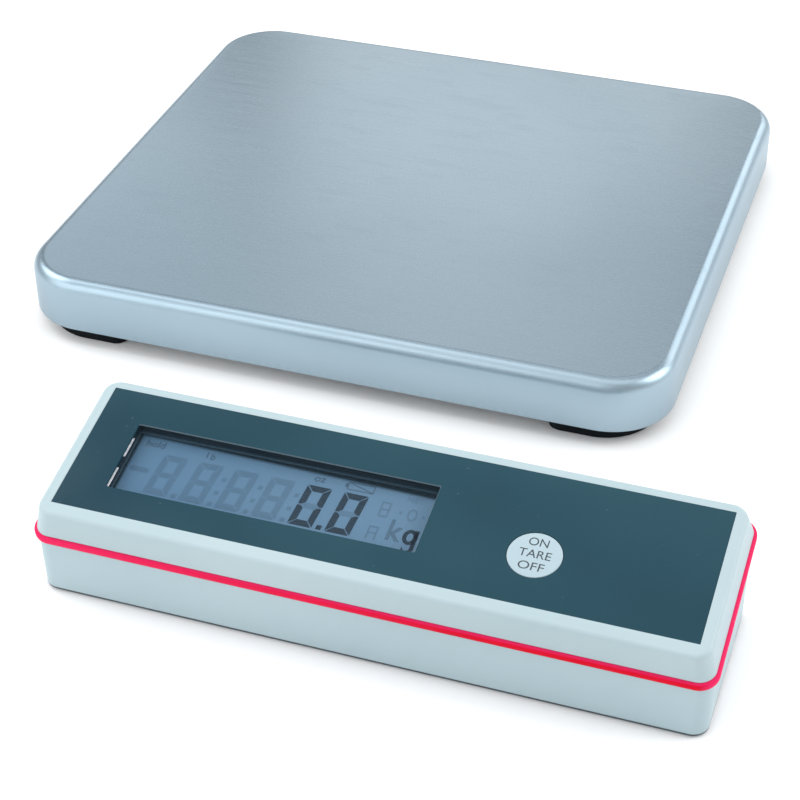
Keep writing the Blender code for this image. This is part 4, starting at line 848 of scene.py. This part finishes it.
def baseForm(inset, foot, top, edge=0, steps=14):
    slope = math.tan(math.radians(baseSizes["draft"]))
    spread = (seamMid - foot) * slope + inset
    return block(
        terminal["length"] - 2 * spread, planDepth - 2 * spread, top - foot, baseSizes["corner"] - inset,
        -(top - foot) * slope, bottom=edge, steps=steps, edgeSteps=4,
    )


def slantedRod(diameter, low, high, steps=32):
    bm = rod(diameter, high - low, steps)
    slant = Matrix.Identity(4)
    slant[2][1] = math.tan(tilt)
    slant[2][3] = low
    bmesh.ops.transform(bm, matrix=slant, verts=bm.verts)
    return bm


def buildBase():
    b = baseSizes
    bay = baySizes
    inside = b["lift"] + b["floor"]
    outer = moved(baseForm(0, b["lift"], panelZ, b["edge"], 18), z=b["lift"])
    shell = carved(outer, [moved(baseForm(b["wall"], inside, panelZ + 1), z=inside)])
    added = [moved(block(bay["length"] + 3.2, bay["depth"] + 3.2, bay["roof"] + 1.6 - inside + 1.5, 0.6, steps=2), bay["x"], 0, inside - 1.5)]
    added += [moved(slantedRod(b["boss"], inside - 1.5, planeHeight(y, b["rim"] - 1)), x, y) for x, y in screwPlaces]
    shell = carved(shell, added, "UNION")
    lid = block(2 * terminal["length"], 2 * terminal["depth"], 2 * panelZ)
    moved(lid, 0, 0, -b["rim"])
    bmesh.ops.transform(lid, matrix=Matrix.Translation((0, panelY, panelZ)) @ Matrix.Rotation(tilt, 4, "X"), verts=lid.verts)
    tools = [lid, moved(block(bay["length"], bay["depth"], bay["roof"] - b["lift"] + 1, 0.5, steps=3), bay["x"], 0, b["lift"] - 1)]
    for x, y in screwPlaces:
        tools.append(moved(rod(6.2, 10, 32), x, y, b["lift"] - 1))
        tools.append(moved(rod(3.6, 46, 24), x, y, b["lift"]))
    tools += [moved(rod(12.6, 2, 40), x, y, b["lift"] - 1) for x, y in padPlaces]
    tools.append(moved(rod(2.2, bay["length"] + 3.6, 20), bay["x"] - bay["length"] / 2 - 1.8, bay["axisY"], bay["axisZ"], (quarter, "Y")))
    tools.append(moved(rod(bay["notch"], 1 + bay["notchDepth"], 48), bay["x"], -bay["depth"] / 2, b["lift"] - 1))
    tools.append(moved(rod(3.6, 4, 20), bay["x"] + bay["length"] / 2 - 1, 0, 12.5, (quarter, "Y")))
    tools.append(moved(rod(14.6, 26, 48), socketSizes["x"], backWall() + 13, socketSizes["height"], (quarter, "X")))
    return carved(shell, tools)


addPiece("lowerShell", buildBase(), terminalPlace, [baseHousing], "terminal", ["terminal_base"], 35)


def buildSeal():
    q = sealSizes
    bead = block(
        terminal["length"] + 2 * q["proud"], terminal["depth"] + 2 * q["proud"], q["height"], q["outer"],
        top=q["proud"], bottom=q["proud"], steps=18, edgeSteps=8,
    )
    inner = block(terminal["length"] - 4.4, terminal["depth"] - 4.4, q["height"] + 2, q["inner"], steps=10)
    return carved(moved(bead, 0, 0, -terminal["rise"] - q["height"] / 2), [moved(inner, 0, 0, -terminal["rise"] - q["height"] / 2 - 1)])


addPiece("seamSeal", buildSeal(), panelPlace, [sealRed], "terminal", ["seam_gasket"], 40)
print("housing built")


# terminal: foil, pane, surround and display


def buildFoil():
    f = foilSizes
    w = windowSizes
    sheet = block(f["length"] + 2 * f["grow"], f["depth"] + 2 * f["grow"], f["sheet"], f["corner"], top=0.12, steps=5, edgeSteps=2)
    moved(sheet, 0, f["shift"], -f["sheet"])
    opening = block(w["length"], w["depth"], f["sheet"] + 0.02, w["corner"], lean=-0.28, steps=4)
    tools = [moved(opening, w["u"], w["v"], -f["sheet"] - 0.01), moved(rod(22.9, 3, 72), keySizes["u"], keySizes["v"], -1.5)]
    sheet = carved(sheet, tools)

    def onSlope(face):
        middle = face.calc_center_median()
        inWindow = abs(middle.x - w["u"]) < w["length"] / 2 + 1 and abs(middle.y - w["v"]) < w["depth"] / 2 + 1
        return inWindow and 0.2 < face.normal.z < 0.95

    # only the back and right chamfers of the window are painted lighter: a painted highlight
    paintFaces(sheet, 1, lambda face: onSlope(face) and face.normal.x < -0.2)
    return paintFaces(sheet, 2, lambda face: onSlope(face) and face.normal.y < -0.2)


addPiece("frontFoil", buildFoil(), panelPlace, [foilDark, foilEdgeHighlight, foilBackHighlight], "terminal", ["front_foil"], 30)


def buildPane():
    w = windowSizes
    sheet = block(w["length"], w["depth"], 1.2, 0.5, steps=2)
    border = block(w["length"] + 4, w["depth"] + 4, 1.2, 0.5, top=0.12, bottom=0.12, steps=2, edgeSteps=1)
    border = carved(border, [moved(block(w["length"] - 0.04, w["depth"] - 0.04, 3, 0.5, steps=2), 0, 0, -1)])
    sheet = joined([sheet, paintFaces(border, 2, lambda face: True)])
    moved(sheet, w["u"], w["v"], -2.1)
    left = w["u"] - w["length"] / 2
    # two pairs of thin bars along the left window edge take the near-white finish: painted glints
    glints = []
    for low, high in ((-17.9, -7.4), (-0.9, 9.5)):
        for step in (0.12, 0.62):
            bar = block(0.2, high - low, 0.22, 0.08, steps=2)
            moved(bar, left + step, (low + high) / 2, -0.88)
            glints.append(paintFaces(bar, 1, lambda face: True))
    return joined([sheet, *glints])


addPiece("clearWindow", buildPane(), panelPlace, [pane, paneGlint, maskInk], "terminal", ["display_window"])

surroundSizes = dict(length=148.8, depth=49, foot=11.5, top=3.5, lipTop=2.15, sink=6, pocketLength=142.8, pocketDepth=43)


def buildSurround():
    q = surroundSizes
    w = windowSizes
    body = block(q["length"], q["depth"], q["foot"] - q["top"], 0.6, top=0.2, steps=3, edgeSteps=2)
    moved(body, w["u"], w["v"], -q["foot"])
    lip = block(w["length"] + 0.7, w["depth"] + 0.7, q["top"] - q["lipTop"] + 0.5, 0.4, steps=3)
    body = carved(body, [moved(lip, w["u"], w["v"], -q["top"] - 0.5)], "UNION")
    reveal = block(w["length"] - 0.1, w["depth"] - 0.1, 14, 0.4, steps=3)
    pocket = block(q["pocketLength"], q["pocketDepth"], q["foot"] - q["sink"] + 0.3 + 1)
    return carved(body, [moved(reveal, w["u"], w["v"], -13), moved(pocket, w["u"], w["v"], -q["foot"] - 1)])


addPiece("displaySurround", buildSurround(), panelPlace, [frameBlack], "terminal", ["display_frame"])

digitSizes = dict(first=-98.35, pitch=16.26, v=-2.3, width=10.7, height=21.8, post=2.95, beam=3.1, gap=0.2, lean=0.077, thick=0.05, face=-6.0)


def flatPlate(points, thick):
    bm = bmesh.new()
    face = bm.faces.new([bm.verts.new((x, y, 0)) for x, y in points])
    made = bmesh.ops.extrude_face_region(bm, geom=[face])["geom"]
    bmesh.ops.translate(bm, vec=(0, 0, thick), verts=[v for v in made if isinstance(v, bmesh.types.BMVert)])
    bmesh.ops.recalc_face_normals(bm, faces=bm.faces)
    return bm


def digit(centre, which, width, height, post, beam, gap, lean):
    # seven mitred bars; each is drawn for the upper left and turned over where needed
    w = width / 2
    h = height / 2
    tip = gap * 0.7
    top = [(-w + tip + gap, h), (w - tip - gap, h), (w - post - gap, h - beam), (-w + post + gap, h - beam)]
    side = [(-w, h - tip - gap), (-w, tip + gap), (-w + post * 0.45, gap), (-w + post, beam / 2), (-w + post, h - beam - gap)]
    middle = [(-w + post * 0.5, 0), (-w + post + gap, beam * 0.45), (w - post - gap, beam * 0.45), (w - post * 0.5, 0), (w - post - gap, -beam * 0.45), (-w + post + gap, -beam * 0.45)]
    bars = {
        "a": (top, 1, 1), "d": (top, 1, -1), "f": (side, 1, 1), "b": (side, -1, 1), "e": (side, 1, -1), "c": (side, -1, -1), "g": (middle, 1, 1),
    }
    made = []
    for key in which:
        points, across, updown = bars[key]
        made.append(flatPlate([(x * across, y * updown) for x, y in points], digitSizes["thick"]))
    whole = joined(made)
    slant = Matrix.Identity(4)
    slant[0][1] = lean
    bmesh.ops.transform(whole, matrix=slant, verts=whole.verts)
    return moved(whole, *centre)


def dot(u, v, size):
    slant = size * 0.04
    half = size / 2
    return moved(flatPlate([(-half - slant, -half), (half - slant, -half), (half + slant, half), (-half + slant, half)], digitSizes["thick"]), u, v)


def ringPlate(width, height, stroke):
    # an oval ring
    outer = rod(1, digitSizes["thick"], 40)
    bmesh.ops.scale(outer, vec=(width, height, 1), verts=outer.verts)
    inner = moved(rod(1, 1, 40), z=-0.5)
    bmesh.ops.scale(inner, vec=(width - 2 * stroke, height - 2 * stroke, 1), verts=inner.verts)
    return carved(outer, [inner])


def unitMark():
    # the round-bowled letter of the weight unit
    thick = digitSizes["thick"]
    bowl = ringPlate(6.2, 7.9, 1.75)
    stem = moved(block(1.75, 9.4, thick), 2.3, -0.8)
    hook = carved(ringPlate(6.2, 6.4, 1.6), [moved(block(9, 9, 1), 0, 4.5, -0.5), moved(block(3, 9, 1), -3.4, 0, -0.5)])
    return [bowl, stem, moved(hook, 0.05, -5.4)]


def batteryMark():
    thick = digitSizes["thick"]
    case = carved(block(11.8, 4.2, thick, 0.3, steps=2), [moved(block(10.9, 3.3, 1, 0.2, steps=1), 0, 0, -0.5)])
    slash = moved(block(11.2, 0.45, thick), 0, 0, 0, (math.radians(-17), "Z"))
    return [case, slash, moved(block(1.1, 2.0, thick, 0.2, steps=1), -6.4, 0)]


def buildDisplay():
    d = digitSizes
    size = (d["width"], d["height"], d["post"], d["beam"], d["gap"], d["lean"])
    small = (0.75, 0.8, 0.1, 0.0)
    places = [d["first"] + k * d["pitch"] for k in range(6)]
    ghost = [digit((u, d["v"]), "abcdefg", *size) for u in places[:4]]
    ghost += [digit((u, d["v"]), "g", *size) for u in places[4:]]
    lit = [digit((u, d["v"]), "abcdef", *size) for u in places[4:]]
    lit.append(dot(-25.9, -12.0, 2.3))
    ghost.append(moved(block(8.7, 2.6, d["thick"], 1.27, steps=8), -110.7, -1.85))
    for k in (1, 2, 3):
        between = places[k] + d["pitch"] / 2
        ghost += [dot(between + 0.9, 1.75, 2.0), dot(between + 0.2, -5.7, 2.0)]
    ghost += [dot(places[k] + d["pitch"] / 2 - 0.4, -11.9, 2.1) for k in (0, 1, 2, 3)]
    faint = [digit((-2.6, 4.0), "abcdefg", 4.3, 8.1, *small), digit((-3.9, -8.95), "abcefg", 4.3, 7.5, *small)]
    faint += [moved(ringPlate(4.3, 6.4, 0.8), 9.3, 3.9), dot(4.35, 4.0, 1.4), dot(14.0, 3.95, 1.2)]
    faint.append(lettering("NET", 4.0, d["thick"], 8.6, 11.75, weight=0.07))
    printed = [moved(shape, -15.7, 12.35) for shape in batteryMark()]
    for text, height, u, v in (("hold", 5.0, -108.9, 12.9), ("l", 4.6, -85.1, 12.7), ("b", 4.6, -82.3, 12.4), ("oz", 5.2, -33.8, 12.2)):
        printed.append(lettering(text, height, d["thick"], u, v, weight=0.07))
    dim = [lettering("k", 15.0, d["thick"], 5.3, -5.45, weight=0.32, widen=0.82)]
    dark = [moved(shape, 11.9, -7.3) for shape in unitMark()]
    glass = block(142.2, 42.4, 2.8, 0.4, top=0.15, bottom=0.15, steps=2, edgeSteps=1)
    moved(glass, windowSizes["u"], windowSizes["v"], -2.8)
    layers = [glass]
    for index, shapes in ((1, lit + dark), (2, dim), (3, ghost), (4, faint), (5, printed)):
        layers += [paintFaces(moved(shape, 0, 0, 0.005 * index), index, lambda face: True) for shape in shapes]
    return moved(joined(layers), z=digitSizes["face"])


addPiece("displayGlass", buildDisplay(), panelPlace, [lcdFace, lcdLit, lcdDim, lcdGhost, lcdFaint, lcdPrint], "terminal", ["lcd_glass"])
print("display built")


# terminal: key, door, battery, feet, screws and socket

k = keySizes
keyProfile = [
    (0, 0), (k["radius"] - 0.05, 0, 0.3), (k["radius"], -0.9), (k["radius"], -3.5), (k["flange"], -3.5, 0.2),
    (k["flange"], -4.7, 0.2), (3.5, -4.7), (3.5, -5.6, 0.3), (0, -5.6),
]
addPiece("keyDisc", moved(turned(keyProfile, 96), k["u"], k["v"]), panelPlace, [keyPlastic], "key", ["key_cap"], 30)
words = joined([lettering(text, 5.7, 0.03, k["u"], k["v"] + v, widen=wide) for text, v, wide in (("ON", 6.5, 0.96), ("TARE", 0.45, 1.0), ("OFF", -5.75, 1.1))])
addPiece("keyLetters", moved(words, z=-0.004), panelPlace, [keyInk], "key", [])


def buildDoor():
    bay = baySizes
    width = bay["length"] - 0.6
    depth = bay["depth"] - 0.6
    plate = block(width, depth, 3, 0.4, bottom=0.25, steps=2, edgeSteps=2)
    moved(plate, 0, 0, baseSizes["lift"])
    backEdges = [e for e in plate.edges if all(v.co.y > depth / 2 - 0.3 for v in e.verts) and abs(e.verts[0].co.x - e.verts[1].co.x) > 5]
    roundOff(plate, [e for e in backEdges if e.verts[0].co.z > 3.4], 1.2, 5)
    roundOff(plate, [e for e in plate.edges if all(v.co.y > depth / 2 - 0.05 and v.co.z < 1.0 for v in e.verts) and abs(e.verts[0].co.x - e.verts[1].co.x) > 5], 0.9, 5)
    pins = moved(rod(1.6, width + 3.6, 20, top=0.2, bottom=0.2), -width / 2 - 1.8, bay["axisY"], bay["axisZ"], (quarter, "Y"))
    ribs = [moved(block(15 - 2 * k, 0.9, 1.2, 0.4, steps=3), 0, -depth / 2 + 3.2 + 1.9 * k, 0.0) for k in range(4)]
    plate = carved(plate, ribs)
    return moved(carved(plate, [pins], "UNION"), x=bay["x"])


addPiece("batteryDoor", buildDoor(), terminalPlace, [doorPlastic], "door", ["battery_door"], 30)


def buildBattery():
    left = baySizes["x"] - baySizes["length"] / 2 + 0.3
    case = block(46, 26.4, 17.4, 2.2, top=0.5, bottom=0.5, steps=5, edgeSteps=2)
    moved(case, left + 23, 0, 3.8)
    snaps = []
    for side, hollow in ((-1, False), (1, True)):
        post = turned([(0, 2.4), (2.2, 2.4, 0.3), (3.0, 1.2, 0.3), (2.5, 0.3), (2.5, -0.6), (0, -0.6)], 32)
        if hollow:
            post = carved(post, [moved(rod(3.6, 3, 6), 0, 0, 0.6)])
        moved(post, left + 46, side * 6.35, 12.5, (quarter, "Y"))
        snaps.append(paintFaces(post, 1, lambda face: True))
    return joined([case, *snaps])


addPiece("blockBattery", buildBattery(), terminalPlace, [wrap, screwZinc], "terminal", ["battery"])

padProfile = [(0, 1.2), (6, 1.2, 0.2), (6, 0, 0.4), (4.2, 0, 0.2), (3.9, 0.3, 0.12), (0, 0.3)]
for number, (x, y) in enumerate(padPlaces, start=1):
    pad = moved(turned(padProfile, 48), x, y)
    addPiece(f"rubberPad{number}", pad, terminalPlace, [blackRubber], "terminal", [f"terminal_foot_{number}"])

for number, (x, y) in enumerate(screwPlaces, start=1):
    seat = baseSizes["lift"] + 8.7
    tip = planeHeight(y, coverSizes["rim"]) + 7
    screw = moved(crossScrew(*screwSizes["cover"], tip - seat), x, y, seat)
    addPiece(f"shellScrew{number}", screw, terminalPlace, [screwZinc], "terminal", [f"cover_screw_{number}"], 28)


def buildSocket():
    q = socketSizes
    foot = q["flange"] / 2 * math.tan(math.radians(baseSizes["draft"])) + 0.3
    face = foot + q["lip"]
    profile = [
        (0, face - q["boreDepth"]), (q["bore"] / 2, face - q["boreDepth"], 0.3), (q["bore"] / 2, face, 0.35), (q["flange"] / 2, face, 0.5),
        (q["flange"] / 2, foot, 0.1), (q["barrel"] / 2, foot), (q["barrel"] / 2, -q["length"], 0.4), (0, -q["length"]),
    ]
    ring = turned(profile, 72)
    key = moved(block(1.6, 1.0, 7, 0.2, steps=2), 0, -q["bore"] / 2 + 0.3, face - q["boreDepth"] - 0.2)
    pins = []
    for step in range(5):
        angle = math.radians(-135 + 67.5 * step)
        pin = rod(0.9, 5.6, 16, top=0.3)
        moved(pin, 3.1 * math.sin(angle), 3.1 * math.cos(angle), face - q["boreDepth"] - 0.2)
        pins.append(paintFaces(pin, 1, lambda face: True))
    whole = joined([ring, key, *pins])
    return moved(whole, q["x"], backWall(), q["height"], (-quarter, "X"))


addPiece("cableSocket", buildSocket(), terminalPlace, [blackPlastic, screwZinc], "terminal", ["terminal_socket"], 30)
print("terminal built")


# the pieces that stay as solids, each with its finish

carriedOver = {
    "zebra_strip_1": contactRubber, "zebra_strip_2": contactRubber, "main_board": board, "key_switch": blackPlastic,
    "switch_plunger": blackPlastic, "battery_clip": blackPlastic, "battery_lead": leadSheath, "signal_lead": leadSheath,
    "board_screw_1": screwZinc, "board_screw_2": screwZinc, "board_screw_3": screwZinc, "board_screw_4": screwZinc,
}
for name, finish in carriedOver.items():
    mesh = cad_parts[name].data
    mesh.materials.clear()
    mesh.materials.append(finish)


# floor, light and camera

white = (1.0, 1.0, 1.0)
warm = (1.0, 0.955, 0.905)
studio = dict(
    sky=(0.95, 0.99, 1.02), skyStrength=0.56,
    lamps=(
        ("ceiling", (0.1, -0.35, 2.05), (0.1, -0.1, 0.0), 2.1, 1.5, 9.5, white),
        ("ceilingBack", (-0.2, 0.95, 2.0), (0.0, 0.1, 0.0), 1.8, 0.9, 2.6, white),
        ("topLeft", (-1.2, 0.0, 2.05), (-1.1, 0.0, 0.0), 0.7, 1.5, 3.3, white),
        ("backStrip", (-0.46, 1.80, 1.1), (-0.05, 0.1, 0.0), 0.74, 1.1, 1.48, warm),
        ("backNarrow", (-0.58, 1.80, 0.9), (-0.05, 0.1, 0.0), 0.50, 0.8, 0.46, warm),
        ("backRight", (-0.10, 1.80, 0.7), (-0.05, 0.1, 0.0), 0.40, 0.5, 0.20, warm),
        ("backLeft", (-1.2, 1.65, 1.1), (0.0, 0.1, 0.0), 0.55, 1.1, 1.2, white),
        ("frontTop", (-0.3, -1.65, 1.3), (0.0, -0.1, 0.0), 1.3, 1.2, 4.5, white),
        ("frontLeft", (-0.80, -0.78, 0.56), (0.0, -0.1, 0.0), 1.0, 0.9, 4.6, white),
        ("leftHigh", (-1.7, 0.2, 1.5), (0.0, 0.0, 0.0), 1.2, 1.2, 14.0, white),
        ("right", (1.7, 0.45, 1.2), (0.1, 0.0, 0.0), 1.4, 1.4, 22.5, white),
        ("behindRight", (0.78, 1.7, 0.95), (0.1, 0.1, 0.0), 1.2, 0.9, 6.6, white),
    ),
)

floorBm = bmesh.new()
bmesh.ops.create_grid(floorBm, x_segments=1, y_segments=1, size=4)
floorMesh = bpy.data.meshes.new("paleFloor")
floorBm.to_mesh(floorMesh)
floorBm.free()
floor = bpy.data.objects.new("paleFloor", floorMesh)
floor.location.z = -0.0001
bpy.context.scene.collection.objects.link(floor)
paper = Finish("palePaper", specularIorLevel=0.1)
paper.set(baseColor=paper.blend(paper.grain(3), (0.955, 0.955, 0.955), (0.975, 0.975, 0.975)), roughness=0.9)
floorMesh.materials.append(paper.material)

world = bpy.data.worlds.new("studio")
bpy.context.scene.world = world
world.use_nodes = True
sky = world.node_tree.nodes["Background"]
sky.inputs["Color"].default_value = (*studio["sky"], 1)
sky.inputs["Strength"].default_value = studio["skyStrength"]

for name, spot, aim, width, depth, power, tint in studio["lamps"]:
    lamp = bpy.data.lights.new(name, "AREA")
    lamp.shape = "RECTANGLE"
    lamp.size = width
    lamp.size_y = depth
    lamp.energy = power
    lamp.color = tint
    lampObject = bpy.data.objects.new(name, lamp)
    lampObject.location = spot
    lampObject.rotation_euler = (Vector(aim) - Vector(spot)).to_track_quat("-Z", "Y").to_euler()
    bpy.context.scene.collection.objects.link(lampObject)

shot = dict(spot=(0.257635, -0.781053, 0.56058), pitch=36.241, yaw=-19.104, roll=-0.538, lens=88.664)
pitch, yaw, roll = (math.radians(shot[key]) for key in ("pitch", "yaw", "roll"))
ahead = Vector((math.sin(yaw) * math.cos(pitch), math.cos(yaw) * math.cos(pitch), -math.sin(pitch)))
level = Vector((math.cos(yaw), -math.sin(yaw), 0))
up = level.cross(ahead)
right = level * math.cos(roll) + up * math.sin(roll)
upright = up * math.cos(roll) - level * math.sin(roll)
camera = bpy.data.cameras.new("shot")
camera.lens = shot["lens"]
camera.sensor_width = 36
camera.clip_start = 0.01
cameraObject = bpy.data.objects.new("shot", camera)
axes = Matrix((right, upright, -ahead)).transposed().to_4x4()
cameraObject.matrix_world = Matrix.Translation(shot["spot"]) @ axes
bpy.context.scene.collection.objects.link(cameraObject)
bpy.context.scene.camera = cameraObject
bpy.context.scene.view_settings.view_transform = "Standard"
print("studio set")
